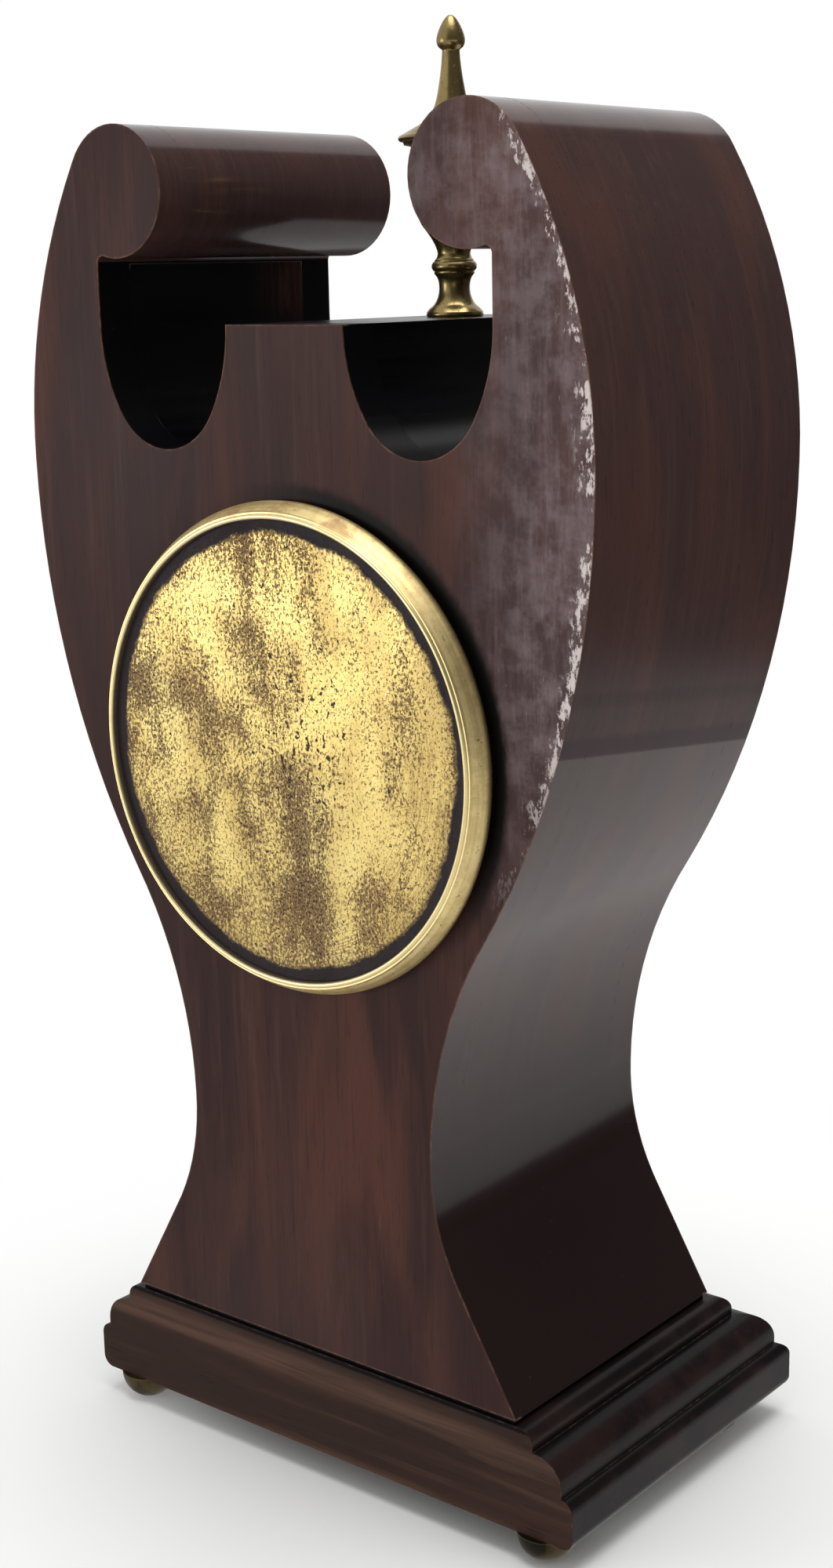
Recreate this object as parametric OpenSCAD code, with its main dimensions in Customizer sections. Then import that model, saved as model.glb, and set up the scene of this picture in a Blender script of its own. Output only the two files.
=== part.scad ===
// Mahogany balloon clock with an eight-day spring movement, wound and set from the back.
// Millimetres, +Z up, the dial faces -Y, the back cap faces +Y.
// The origin lies on the surface that the clock stands on, under the middle of its box.

/* [Case outline] */
// Depth of the body from front to back
body_depth = 71; // [62:0.5:90]
// Half width of the body where it meets the plinth
foot_half = 52.3; // [48:0.1:56]
// Half width of the body at its waist
waist_half = 32.1; // [28:0.1:36]
// Height of the waist over the plinth
waist_z = 48.3; // [44:0.1:54]
// Radius of the hollow curve under the waist
waist_lower_r = 50.2; // [46:0.1:60]
// Half width of the body at its widest
bulge_half = 71.5; // [70:0.1:76]
// Height of the widest place over the plinth
bulge_z = 185.6; // [182:0.1:190]
// Radius of the round curve under the widest place
bulge_lower_r = 168; // [150:0.5:180]

/* [Case boards] */
// Thickness of the front and the back panel
panel_t = 9; // [6:0.5:11]
// Thickness of the bent side boards
side_t = 5; // [3:0.5:6]
// Thickness of the ebonised boards that line the arches
liner_t = 2.5; // [1.5:0.1:4]
// Thickness of the board that carries the finial
top_board_t = 6; // [4:0.5:9]
// Thickness of the bottom board inside the body
bottom_board_t = 8; // [5:0.5:12]
// Height of the dark joint between the body and the plinth
joint_h = 1.2; // [0.8:0.1:2]
// How far the dark joint stands back
joint_inset = 0.7; // [0.3:0.1:1.5]
// Side of a glue block
block_w = 9; // [6:0.5:10]

/* [Scrolls and arches] */
// Radius of the scroll rolls
scroll_r = 13; // [12:0.1:14]
// Distance of a scroll from the middle
scroll_x = 44.2; // [43:0.1:46]
// Height of the scrolls over the plinth
scroll_z = 237; // [235:0.1:240]
// Radius of the corner under a scroll
scroll_fillet = 1.5; // [0.8:0.1:2.5]
// Distance of an arm's inner face from the middle
arm_x = 49.8; // [49:0.1:51]
// Radius of the bottom of an arch
arch_r = 14.7; // [14:0.1:15.5]
// Distance of the bottom of an arch from the middle
arch_x = 32.4; // [32:0.1:33]
// Height of the centre of the bottom of an arch
arch_z = 201.2; // [198:0.1:203]
// Half width of the pedestal's top
pedestal_half = 14.9; // [13:0.1:16]
// Height of the pedestal's top, where the arms' inner faces start to curve
pedestal_z = 211; // [209:0.1:214]
// How far a scroll block reaches down inside its arm
scroll_block_drop = 14; // [8:0.5:16]

/* [Plinth and feet] */
// Height of the plinth with the dark joint
plinth_h = 24; // [22:0.5:30]
// How far the plinth's widest member stands out
plinth_out = 13.3; // [12:0.1:16]
// How far the plinth stands back from the body's back face
plinth_back = 0; // [0:0.1:1]
// Radius of the top bead
bead_r = 3; // [2:0.1:3.4]
// Radius of the quarter round
ovolo_r = 6.2; // [5:0.1:6.6]
// Radius of the lower member's edges
edge_r = 2.6; // [1.5:0.1:3.2]
// Radius of a foot's ball
foot_r = 6.3; // [5:0.1:8]
// Height of a foot under the plinth
foot_h = 6.2; // [4.5:0.1:6.2]
// Distance of the feet from the middle
foot_x = 56; // [50:0.5:57]
// Distance of the back feet from the middle
foot_back_y = 30.5; // [24:0.5:31]
// Distance of the front feet from the middle
foot_front_y = 32; // [24:0.5:38]
// Radius of the feet's screws
foot_screw_r = 1.6; // [1:0.1:2]
// Length of a foot's screw in the plinth
foot_screw_l = 14; // [8:0.5:18]

/* [Finial] */
// How far the finial stands behind the body's front
finial_back = 17.7; // [14:0.1:25]
// Radius of the finial's rod
finial_rod_r = 1.5; // [1:0.1:2]
// Radius of the finial's lid
finial_lid_r = 11; // [9:0.1:12]

/* [Front and dial] */
// Height of the dial's centre over the plinth
dial_z = 128.6; // [120:0.1:131]
// Radius of the bore through the front and the back panel
bore_r = 45.6; // [44.5:0.1:46]
// Gap between a ring's sleeve and the bore
sleeve_gap = 0.2; // [0.1:0.05:0.4]
// Wall of the rings' sleeves
sleeve_t = 1; // [0.8:0.1:1.5]
// How far the bezel reaches past the bore
bezel_reach = 6; // [5:0.1:8]
// How far the bezel's sight opening lies inside the bore
sight_lap = 3.4; // [3:0.1:5]
// Thickness of the fixed bezel ring's flange
flange_t = 1.2; // [0.8:0.1:1.5]
// Gap between the shut bezel and the flange
bezel_gap = 0.25; // [0.15:0.05:0.4]
// Rise of the glass in its middle
glass_rise = 4.3; // [3:0.1:5]
// Thickness of the glass
glass_t = 1.6; // [1.2:0.1:2]
// Radius of the bezel hinge's knuckles
knuckle_r = 1.4; // [1.2:0.05:1.6]
// Radius of the bezel hinge's pin
hinge_pin_r = 0.6; // [0.4:0.05:0.8]
// Half length of the bezel's own knuckle
knuckle_half = 2.85; // [2:0.05:3.5]
// Thickness of the enamel dial
dial_t = 1.2; // [0.8:0.1:1.5]
// Thickness of the dial pan
pan_t = 0.6; // [0.4:0.05:0.8]
// Length of the minute hand
minute_len = 37; // [32:0.5:39]
// Length of the hour hand
hour_len = 25; // [20:0.5:28]
// Thickness of the hands
hand_t = 0.45; // [0.3:0.05:0.5]

/* [Back cap] */
// How much wider the cap is where it meets the body than at its lip
cap_flare = 2.1; // [1.7:0.1:4]
// Width of the cap's lip
cap_lip_w = 1.35; // [1.15:0.05:2]
// How far the cap's lip stands behind the body
cap_h = 5.85; // [5.5:0.05:9]
// How deep the cap's disc lies behind the lip
cap_recess = 1.25; // [1:0.05:2]
// Thickness of the cap's disc
cap_disc_t = 0.8; // [0.5:0.05:1]
// Running gap between the cap and the back ring
cap_gap = 0.05; // [0.03:0.01:0.1]
// Thickness of the back ring's flange
back_flange_t = 0.8; // [0.5:0.05:1]

/* [Movement plates] */
// Space between the plates' edge and the bore's wall
plate_space = 6.1; // [5.1:0.1:6.4]
// Thickness of the plates
plate_t = 2; // [1.5:0.1:2.4]
// Distance between the plates
plate_gap = 24; // [24:0.5:26]
// Distance from the dial pan's back to the front plate
motion_gap = 5.7; // [5.7:0.1:6.5]
// Radius of a pillar
pillar_r = 2.5; // [2:0.1:2.8]
// Distance of the pillars from the centre
pillar_at = 35; // [34.8:0.1:35.6]
// Radius of the pillar screws
screw_r = 1.1; // [0.8:0.05:1.2]
// Width of a strap
strap_w = 8; // [6:0.5:10]
// Thickness of a strap
strap_t = 1.5; // [1:0.1:1.8]
// Radius of the long strap screws
strap_screw_r = 1.25; // [1:0.05:1.4]

/* [Wheels] */
// Teeth of the barrel's great wheel
great_teeth = 84; // [84]
// Leaves of the intermediate pinion
intermediate_leaves = 14; // [14]
// Tooth module of the great wheel
great_m = 0.42; // [0.4:0.005:0.425]
// Teeth of the intermediate wheel
intermediate_teeth = 84; // [84]
// Leaves of the centre pinion
centre_leaves = 12; // [12]
// Tooth module of the intermediate wheel
intermediate_m = 0.32; // [0.31:0.005:0.33]
// Teeth of the centre wheel
centre_teeth = 96; // [96]
// Leaves of the third and fourth pinions and the escape pinion
train_leaves = 12; // [12]
// Tooth module of the centre wheel
centre_m = 0.28; // [0.27:0.005:0.29]
// Teeth of the third wheel
third_teeth = 90; // [90]
// Tooth module of the third wheel
third_m = 0.25; // [0.245:0.005:0.26]
// Teeth of the fourth wheel
fourth_teeth = 96; // [96]
// Tooth module of the fourth wheel
fourth_m = 0.2; // [0.195:0.005:0.205]
// Thickness of the train wheels
wheel_t = 1; // [0.8:0.1:1.2]
// Thickness of the great wheel
great_t = 1.6; // [1.2:0.1:1.8]
// Outer radius of the barrel
barrel_r = 15.5; // [14:0.1:16]
// Wall of the barrel
barrel_wall = 0.9; // [0.7:0.1:1.2]
// Radius of the barrel arbor's hub
hub_r = 4.5; // [4:0.1:5]
// Radius of the barrel arbor
barrel_arbor_r = 2; // [1.8:0.05:2.2]
// Thickness of the mainspring
mainspring_t = 0.5; // [0.4:0.05:0.6]
// Coils of the mainspring
mainspring_coils = 6; // [5:1:7]
// Side of the winding square
winding_square = 2.6; // [2.2:0.1:2.8]
// Side of the setting square
setting_square = 2; // [1.6:0.1:2.2]
// How far the squares stand behind the back plate
square_l = 13; // [10:0.5:16]
// Teeth of the ratchet wheel
ratchet_teeth = 24; // [24]
// Radius of the ratchet wheel
ratchet_r = 8; // [7.6:0.1:8]
// Depth of the ratchet's teeth
ratchet_depth = 0.8; // [0.6:0.05:0.9]
// Radius of the centre arbor's bore
centre_bore_r = 0.8; // [0.7:0.05:0.9]
// Running clearance of pivots and arbors
run_gap = 0.05; // [0.03:0.01:0.08]

/* [Escapement] */
// Teeth of the escape wheel
escape_teeth = 15; // [15]
// Radius of the escape wheel
escape_r = 4.2; // [4:0.05:4.2]
// Distance from the escape wheel to the lever's pivot
pallet_at = 5.2; // [5.2:0.05:5.4]
// Distance from the lever's pivot to the balance
balance_at = 7; // [6.8:0.1:7.5]
// Outer radius of the balance
balance_r = 7.2; // [6.6:0.1:7.4]
// Coils of the hairspring
hairspring_coils = 7; // [5:1:9]

/* [Hidden] */

round_fn = 96;
small_fn = 48;
eps = 0.01;

mahogany = [0.24, 0.11, 0.08];
dark_mahogany = [0.17, 0.07, 0.06];
ebonised = [0.05, 0.04, 0.04];
aged_brass = [0.62, 0.5, 0.24];
movement_brass = [0.78, 0.64, 0.32];
blued_steel = [0.12, 0.14, 0.32];
bright_steel = [0.62, 0.63, 0.65];
enamel_white = [0.93, 0.92, 0.87];
inner_wood = [0.45, 0.3, 0.2];

// Faces of the body and the place of its frame over the origin
front_y = -body_depth / 2;
back_y = body_depth / 2;
inner_front_y = front_y + panel_t;
inner_back_y = back_y - panel_t;
body_z = foot_h + plinth_h;
body_y = (body_depth / 2 + plinth_out - (body_depth / 2 + cap_h)) / 2;

// The side outline: a straight flare and four tangent arcs
flare_reach = [waist_half + waist_lower_r - foot_half, waist_z];
flare = atan2(flare_reach[1], flare_reach[0]) + asin(waist_lower_r / norm(flare_reach));
side_run = bulge_half - waist_half;
side_rise = bulge_z - waist_z;
waist_upper_r = (side_run * side_run + side_rise * side_rise) / (2 * side_run) - bulge_lower_r;
waist_lower_c = [waist_half + waist_lower_r, waist_z];
waist_upper_c = [waist_half + waist_upper_r, waist_z];
bulge_lower_c = [bulge_half - bulge_lower_r, bulge_z];
swing = angle_of(bulge_lower_c - waist_upper_c);
scroll_c = [scroll_x, scroll_z];
shoulder_a = scroll_x - bulge_half;
shoulder_h = scroll_z - bulge_z;
bulge_upper_r = (scroll_r * scroll_r - shoulder_a * shoulder_a - shoulder_h * shoulder_h)
    / (2 * (shoulder_a + scroll_r));
bulge_upper_c = [bulge_half - bulge_upper_r, bulge_z];
shoulder = angle_of(scroll_c - bulge_upper_c);
scroll_foot_c = [
    arm_x - scroll_fillet,
    scroll_z - sqrt(pow(scroll_r + scroll_fillet, 2) - pow(arm_x - scroll_fillet - scroll_x, 2))
];
scroll_end = angle_of(scroll_foot_c - scroll_c);
shoulder_z = scroll_z + scroll_r * sin(shoulder);

// The arch outline: a round bottom between two large arcs that end upright
arch_c = [arch_x, arch_z];
arch_out_r = large_arc(arm_x - arch_x, pedestal_z - arch_z);
arch_in_r = large_arc(arch_x - pedestal_half, pedestal_z - arch_z);
arch_out_c = [arm_x - arch_out_r, pedestal_z];
arch_in_c = [pedestal_half + arch_in_r, pedestal_z];
arch_out_a = angle_of(arch_c - arch_out_c);
arch_in_a = angle_of(arch_c - arch_in_c);

// Depths of the dial, the bezel and the movement, from the front to the back
flange_y = front_y - flange_t;
bezel_y = flange_y - bezel_gap;
glass_seat_y = bezel_y - 4.25;
bezel_r = bore_r + bezel_reach;
sight_r = bore_r - sight_lap;
sleeve_r = bore_r - sleeve_gap;
sleeve_in_r = sleeve_r - sleeve_t;
plate_r = bore_r - plate_space;
sleeve_depth = 7.5;
ledge_w = 2.5;
ledge_t = 1;
pan_y = front_y + 1.7;
pan_back_y = pan_y + pan_t;
dial_y = pan_y - dial_t;
dial_r = sleeve_in_r - 0.5;
front_plate_y = pan_back_y + motion_gap;
inside_y = front_plate_y + plate_t;
back_plate_y = inside_y + plate_gap;
outside_y = back_plate_y + plate_t;
hinge_x = -(bezel_r + 1.8);
hinge_y = bezel_y - 0.95;

// The wheels' places round the dial's centre, each pair at its pitch distance
great_d = (great_teeth + intermediate_leaves) * great_m / 2;
intermediate_d = (intermediate_teeth + centre_leaves) * intermediate_m / 2;
centre_d = (centre_teeth + train_leaves) * centre_m / 2;
third_d = (third_teeth + train_leaves) * third_m / 2;
fourth_d = (fourth_teeth + train_leaves) * fourth_m / 2;
centre_at = [0, 0];
barrel_at = [-11.6, -16.6];
intermediate_at = meet(centre_at, barrel_at, intermediate_d, great_d, 1);
third_at = centre_d * [cos(60), sin(60)];
escape_at = [-9, 24.1];
fourth_at = meet(escape_at, third_at, fourth_d, third_d, -1);
lever_at = escape_at + [pallet_at, 0];
balance_c = lever_at + [balance_at, 0];

// The motion work: the cannon pinion drives the minute wheel, its pinion drives the hour wheel
cannon_leaves = 14;
minute_teeth = 42;
minute_leaves = 12;
hour_teeth = 48;
cannon_m = 0.42;
motion_d = (cannon_leaves + minute_teeth) * cannon_m / 2;
hour_m = 2 * motion_d / (minute_leaves + hour_teeth);
minute_at = motion_d * [cos(-35), sin(-35)];
minute_post_r = 0.8;

// Levels between the plates, counted from the front plate's inner face
centre_s = 0.8;
great_s = 3;
barrel_h = 15.6;
cover_t = 0.8;
third_s = 12;
back_s = plate_gap - 3.4;
fourth_s = plate_gap - 3;
shake = 0.15;
pivot_r = 0.5;
barrel_pivot_r = 1.6;
centre_tube_r = 1.5;
centre_pivot_r = 1.3;
arbor_r = 0.8;
intermediate_arbor_r = 1;
pillar_angles = [50, 140, 200, 285];
dial_feet = [95, 215, 335];
dial_foot_r = 1.2;
dial_foot_at = 37;

// The platform behind the back plate
platform_t = 1.4;
platform_y = outside_y + platform_t;
escape_y = platform_y + 0.6;
escape_t = 0.6;
lever_y = platform_y + 0.5;
lever_t = 0.8;
cock_y = platform_y + 1.9;
cock_t = 1;
roller_y = cock_y - 0.5;
balance_y = cock_y + cock_t + 0.6;
balance_t = 0.8;
hairspring_y = balance_y + balance_t + 0.6;
hairspring_h = 0.5;
balance_cock_y = hairspring_y + hairspring_h + 0.6;
balance_cock_t = 1.2;
staff_r = 0.35;
roller_r = 1.2;
click_at = barrel_at + [9.6, 7.5];
click_t = 1.5;
ratchet_y = outside_y + 0.3;

function angle_of(v) = atan2(v[1], v[0]);
function polar(r, a) = r * [cos(a), sin(a)];
function arc(c, r, a0, a1, n, from = 0) = [for (i = [from:n]) c + polar(r, a0 + (a1 - a0) * i / n)];
function reversed(p) = [for (i = [len(p) - 1:-1:0]) p[i]];
// Radius of an arc that starts upright and runs into the arch's round bottom
function large_arc(run, rise) = (run * run + rise * rise - arch_r * arch_r) / (2 * (run - arch_r));
// The point at two given distances from two others
function meet(a, b, ra, rb, side) =
    let (d = norm(b - a), u = (b - a) / d, x = (ra * ra - rb * rb + d * d) / (2 * d))
    a + x * u + side * sqrt(ra * ra - x * x) * [-u[1], u[0]];
module place() { translate([0, body_y, body_z]) children(); }
module at_dial() { place() translate([0, 0, dial_z]) children(); }
module at_wheel(p) { at_dial() translate([p[0], 0, p[1]]) children(); }
// A flat shape drawn as x and z, made solid from y0 to y1
module slab(y0, y1) { translate([0, y1, 0]) rotate([90, 0, 0]) linear_extrude(y1 - y0) children(); }
// A turned shape round the Y axis, drawn as radius and y
module turned(points, fn = round_fn) {
    rotate([-90, 0, 0]) rotate_extrude($fn = fn) polygon(points);
}
module rod_y(r, y0, y1, fn = small_fn) { slab(y0, y1) circle(r = r, $fn = fn); }
module tube_y(r_out, r_in, y0, y1, fn = small_fn) {
    slab(y0, y1) difference() {
        circle(r = r_out, $fn = fn);
        circle(r = r_in, $fn = fn);
    }
}
module both_sides() {
    children();
    mirror([1, 0, 0]) children();
}

// Involute teeth with a little play
pressure = 20;
play = 0.18;
function involute(a) = tan(a) * 180 / PI - a;
function half_tooth(n, rp, rb, r) =
    90 / n * (1 - play) + involute(pressure) - involute(acos(min(1, rb / max(r, rb))));
function tooth_radii(rp, rb, rr, ra, n) =
    n < 20 ? [rr, max(rb, rr + 0.02), rp, (rp + ra) / 2, ra] : [rr, ra];
function gear_points(n, m, turn, top = 0.7, root = 0.95) =
    let (
        rp = n * m / 2,
        rb = rp * cos(pressure),
        ra = rp + top * m,
        rr = rp - root * m,
        radii = tooth_radii(rp, rb, rr, ra, n)
    )
    [
        for (i = [0:n - 1])
            each concat(
                [for (r = radii) polar(r, turn + i * 360 / n - half_tooth(n, rp, rb, r))],
                [for (r = reversed(radii)) polar(r, turn + i * 360 / n + half_tooth(n, rp, rb, r))]
            )
    ];
// A wheel with crossings, its hub bored for its arbor; its tooth points along turn
module wheel_shape(n, m, turn, bore, hub, rim, arms) {
    rim_r = n * m / 2 - m - rim;
    difference() {
        polygon(gear_points(n, m, turn));
        circle(r = bore, $fn = small_fn);
        difference() {
            circle(r = rim_r, $fn = round_fn);
            circle(r = hub, $fn = small_fn);
            for (i = [0:arms - 1]) rotate(i * 360 / arms) translate([0, -rim / 2])
                square([rim_r + rim, rim]);
        }
    }
}
// A pinion whose space points along turn
module pinion_shape(n, m, turn, bore) {
    difference() {
        polygon(gear_points(n, m, turn + 180 / n));
        if (bore > 0) circle(r = bore, $fn = small_fn);
    }
}
// An arbor between the plates with its two pivots
module arbor_rod(r, pivot) {
    rod_y(pivot, front_plate_y, outside_y, 32);
    rod_y(r, inside_y + shake, back_plate_y - shake, 32);
}

// Case outline, the right half: true arcs cut from and added to straight pieces, whose sides
// cross the arcs squarely where two arcs meet. There one arc reaches a hair over the other, so
// that they cross at a clear point.
overlap = 5;
hair = 0.01;
module round_at(p, r) { translate(p) circle(r = r, $fn = round_fn); }
module band_of(x0, x1, z0, z1) { translate([x0, z0]) square([x1 - x0, z1 - z0]); }
// The body's side up to the shoulder, moved inwards by d
module side_shape(d) {
    flare_end = waist_lower_c + polar(waist_lower_r + d, flare + 90);
    swing_out = bulge_lower_c + polar(bulge_lower_r - d + overlap, swing - 180);
    swing_in = bulge_lower_c + polar(bulge_lower_r - d - overlap, swing - 180);
    difference() {
        union() {
            polygon([[-1, 0], [foot_half - d / sin(flare), 0], flare_end, [waist_half + 1, waist_z],
                swing_out, swing_in, [-1, swing_in[1]]]);
            intersection() {
                round_at(bulge_lower_c, bulge_lower_r - d);
                band_of(-1, 2 * bulge_half, waist_z, bulge_z);
            }
            intersection() {
                round_at(bulge_upper_c, bulge_upper_r - d + hair);
                band_of(-1, 2 * bulge_half, bulge_z - 20, shoulder_z);
            }
        }
        round_at(waist_lower_c, waist_lower_r + d + 2 * hair);
        intersection() {
            round_at(waist_upper_c, waist_upper_r + d + hair);
            band_of(0, 2 * bulge_half, waist_z, bulge_z);
        }
    }
}
// The curved part of an arch, widened by d
module arch_shape(d) {
    left = arch_c + polar(arch_r + d + overlap, arch_in_a);
    right = arch_c + polar(arch_r + d + overlap, arch_out_a);
    out_x = arm_x + d + overlap;
    in_x = pedestal_half - d - overlap;
    round_at(arch_c, arch_r + d + hair);
    intersection() {
        round_at(arch_out_c, arch_out_r + d);
        round_at(arch_in_c, arch_in_r + d);
        polygon([arch_c, right, [out_x, pedestal_z], [in_x, pedestal_z], left]);
    }
}
// A scroll with the web that rounds the corner under it
module scroll_shape() {
    join = scroll_foot_c + polar(scroll_fillet, scroll_end + 180);
    round_at(scroll_c, scroll_r + 2 * hair);
    difference() {
        polygon([scroll_foot_c, [arm_x + 2, scroll_foot_c[1]], [arm_x + 2, scroll_z], scroll_c, join]);
        round_at(scroll_foot_c, scroll_fillet + hair);
    }
}
module open_top(x1) { band_of(-2, x1, pedestal_z, scroll_z + 2 * scroll_r); }

// Case
module half_panel_shape() {
    difference() {
        side_shape(0);
        arch_shape(0);
        open_top(arm_x);
    }
    scroll_shape();
}
module panel_shape() {
    difference() {
        union() {
            half_panel_shape();
            mirror([1, 0]) half_panel_shape();
        }
        translate([0, dial_z]) circle(r = bore_r, $fn = round_fn);
    }
}
module back_panel() { color(mahogany) place() slab(inner_back_y, back_y) panel_shape(); }
module front_panel() { color(mahogany) place() slab(front_y, inner_front_y) panel_shape(); }
module side_board_shape() {
    difference() {
        side_shape(0);
        side_shape(side_t);
    }
}
module side_board() { place() slab(inner_front_y, inner_back_y) side_board_shape(); }
module side_left() { color(dark_mahogany) mirror([1, 0, 0]) side_board(); }
module side_right() { color(dark_mahogany) side_board(); }
module scroll_block() {
    place() slab(inner_front_y, inner_back_y) difference() {
        union() {
            intersection() {
                side_shape(side_t);
                band_of(arch_x, 2 * bulge_half, pedestal_z - scroll_block_drop, scroll_z);
            }
            scroll_shape();
        }
        side_board_shape();
        arch_shape(liner_t);
        band_of(-2, arm_x + liner_t, pedestal_z, scroll_foot_c[1]);
        difference() {
            open_top(arm_x);
            scroll_shape();
        }
    }
}
module scroll_left() { color(dark_mahogany) mirror([1, 0, 0]) scroll_block(); }
module scroll_right() { color(dark_mahogany) scroll_block(); }
module arch_liner() {
    place() slab(inner_front_y, inner_back_y) difference() {
        union() {
            arch_shape(liner_t);
            band_of(arch_x, arm_x + liner_t, pedestal_z, scroll_foot_c[1]);
        }
        arch_shape(0);
        open_top(arm_x);
    }
}
module arch_liner_left() { color(ebonised) mirror([1, 0, 0]) arch_liner(); }
module arch_liner_right() { color(ebonised) arch_liner(); }
module top_board() {
    half = pedestal_half - liner_t;
    color(ebonised) place() difference() {
        translate([-half, inner_front_y, pedestal_z - top_board_t])
            cube([2 * half, inner_back_y - inner_front_y, top_board_t]);
        translate([0, front_y + finial_back, pedestal_z - top_board_t - 1])
            cylinder(r = finial_rod_r, h = top_board_t + 2, $fn = small_fn);
    }
}
module bottom_board() {
    low = foot_half - side_t / sin(flare);
    high = low + bottom_board_t / tan(flare);
    color(ebonised) place() {
        slab(inner_front_y, inner_back_y)
            polygon([[-low, 0], [low, 0], [high, bottom_board_t], [-high, bottom_board_t]]);
        translate([-foot_half + joint_inset, front_y + joint_inset, -joint_h])
            cube([2 * (foot_half - joint_inset), body_depth - 2 * joint_inset, joint_h]);
    }
}
module glue_blocks() {
    color(inner_wood) place() both_sides() for (y = [inner_front_y, inner_back_y - block_w])
        translate([4, y, bottom_board_t]) cube([3 * block_w, block_w, block_w]);
}

// Plinth: one moulded profile cut along three edges, mitred at the front corners
module plinth_edge(half) {
    bead_z = -joint_h - bead_r;
    ovolo_top = bead_z - 1.4;
    ovolo_z = ovolo_top - ovolo_r;
    member_top = ovolo_z - 1.6;
    member = half + plinth_out - edge_r;
    band_of(0, half + 0.9, bead_z, -joint_h);
    round_at([half + 0.9, bead_z], bead_r);
    band_of(0, half + 3.9, ovolo_top - 1, bead_z);
    round_at([half + 4.6, ovolo_z], ovolo_r);
    band_of(0, half + 4.6, ovolo_z, ovolo_top);
    band_of(0, half + 4.6 + ovolo_r, member_top - 1, ovolo_z);
    band_of(0, member, -plinth_h, member_top);
    band_of(0, member + edge_r, -plinth_h + edge_r, member_top - edge_r);
    for (z = [-plinth_h + edge_r, member_top - edge_r]) round_at([member, z], edge_r);
}
module plinth() {
    far_y = back_y - plinth_back;
    color(mahogany) place() difference() {
        intersection() {
            slab(-body_depth, far_y) {
                plinth_edge(foot_half);
                mirror([1, 0]) plinth_edge(foot_half);
            }
            translate([-2 * foot_half, 0, 0]) rotate([90, 0, 90]) linear_extrude(4 * foot_half) {
                mirror([1, 0]) plinth_edge(body_depth / 2);
                band_of(-1, far_y + 1, -plinth_h, -joint_h);
            }
        }
        foot_places() translate([0, 0, -plinth_h - 1])
            cylinder(r = foot_screw_r, h = foot_screw_l + 1, $fn = small_fn);
    }
}
module foot_places() {
    both_sides() for (y = [-foot_front_y, foot_back_y]) translate([foot_x, y, 0]) children();
}
module feet() {
    ball_z = sqrt(foot_r * foot_r - pow(foot_r * 0.3, 2)) - plinth_h - foot_h;
    color(aged_brass) place() foot_places() difference() {
        intersection() {
            translate([0, 0, ball_z]) sphere(r = foot_r, $fn = small_fn);
            translate([-foot_r - 1, -foot_r - 1, -plinth_h - foot_h])
                cube([2 * foot_r + 2, 2 * foot_r + 2, foot_h]);
        }
        translate([0, 0, -plinth_h - 4])
            cylinder(r = foot_screw_r, h = 5, $fn = small_fn);
    }
}
module foot_screws() {
    color(bright_steel) place() foot_places() translate([0, 0, -plinth_h - 4])
        cylinder(r = foot_screw_r, h = foot_screw_l + 4, $fn = small_fn);
}

// Finial, turned in two pieces on one rod
module on_pedestal() { place() translate([0, front_y + finial_back, pedestal_z]) children(); }
vase_h = 34.4;
module finial_vase() {
    color(aged_brass) on_pedestal() difference() {
        rotate_extrude($fn = round_fn) polygon(concat(
            [[0, 0], [5.9, 0], [6, 0.6], [5.9, 1.3], [5.1, 1.9], [3.7, 3.3], [3.2, 4.6], [3.15, 6.2],
             [3.5, 8], [4.4, 9], [4.7, 9.9], [4.6, 11], [4.1, 11.6], [3.4, 12], [3.5, 13.2]],
            arc([3.4, 24.6], 6, -70, 70, 10),
            [[5.6, 31.6], [7.4, 33], [9.8, vase_h], [0, vase_h]]
        ));
        translate([0, 0, -1]) cylinder(r = finial_rod_r, h = vase_h + 2, $fn = small_fn);
    }
}
module finial_lid() {
    color(aged_brass) on_pedestal() difference() {
        rotate_extrude($fn = round_fn) polygon([
            [0, vase_h], [10.2, vase_h], [finial_lid_r, 35.2], [finial_lid_r + 0.2, 35.9],
            [finial_lid_r, 36.6], [9.9, 37.3], [8, 37.9], [5.9, 38.9], [4.4, 40.2], [3.5, 42],
            [2.9, 44.2], [2.4, 46.6], [2, 49.6], [1.8, 52.4], [2.1, 52.9], [2.7, 53.4], [3, 54.4],
            [2.8, 55.6], [2.2, 57], [1.5, 58.6], [0.8, 59.4], [0, 59.6]
        ]);
        cylinder(r = finial_rod_r, h = vase_h + 3, $fn = small_fn);
    }
}
module finial_rod() {
    color(bright_steel) on_pedestal() translate([0, 0, -top_board_t])
        cylinder(r = finial_rod_r, h = top_board_t + vase_h + 3, $fn = small_fn);
}

// Bezel, glass and dial
hinge_zs = [-1, 1];
knuckle_gap = 0.15;
knuckle_l = 3;
module bezel_ring() {
    color(aged_brass) at_dial() {
        difference() {
            union() {
                turned([
                    [sleeve_in_r, flange_y], [bezel_r, flange_y], [bezel_r, front_y],
                    [sleeve_r, front_y], [sleeve_r, front_y + sleeve_depth],
                    [sleeve_in_r, front_y + sleeve_depth], [sleeve_in_r, pan_back_y + ledge_t],
                    [sleeve_in_r - ledge_w, pan_back_y + ledge_t], [sleeve_in_r - ledge_w, pan_back_y],
                    [sleeve_in_r, pan_back_y]
                ]);
                for (s = hinge_zs) knuckle_tab(s);
            }
            translate([hinge_x, hinge_y, -10]) cylinder(r = hinge_pin_r, h = 20, $fn = small_fn);
        }
    }
}
module knuckle_tab(s) {
    mid = s * (knuckle_half + knuckle_gap + knuckle_l / 2);
    translate([hinge_x, hinge_y, mid - knuckle_l / 2]) {
        cylinder(r = knuckle_r, h = knuckle_l, $fn = small_fn);
        translate([-knuckle_r / 2, flange_y - hinge_y, 0])
            cube([bezel_r - sleeve_r, flange_t, knuckle_l]);
    }
}
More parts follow.
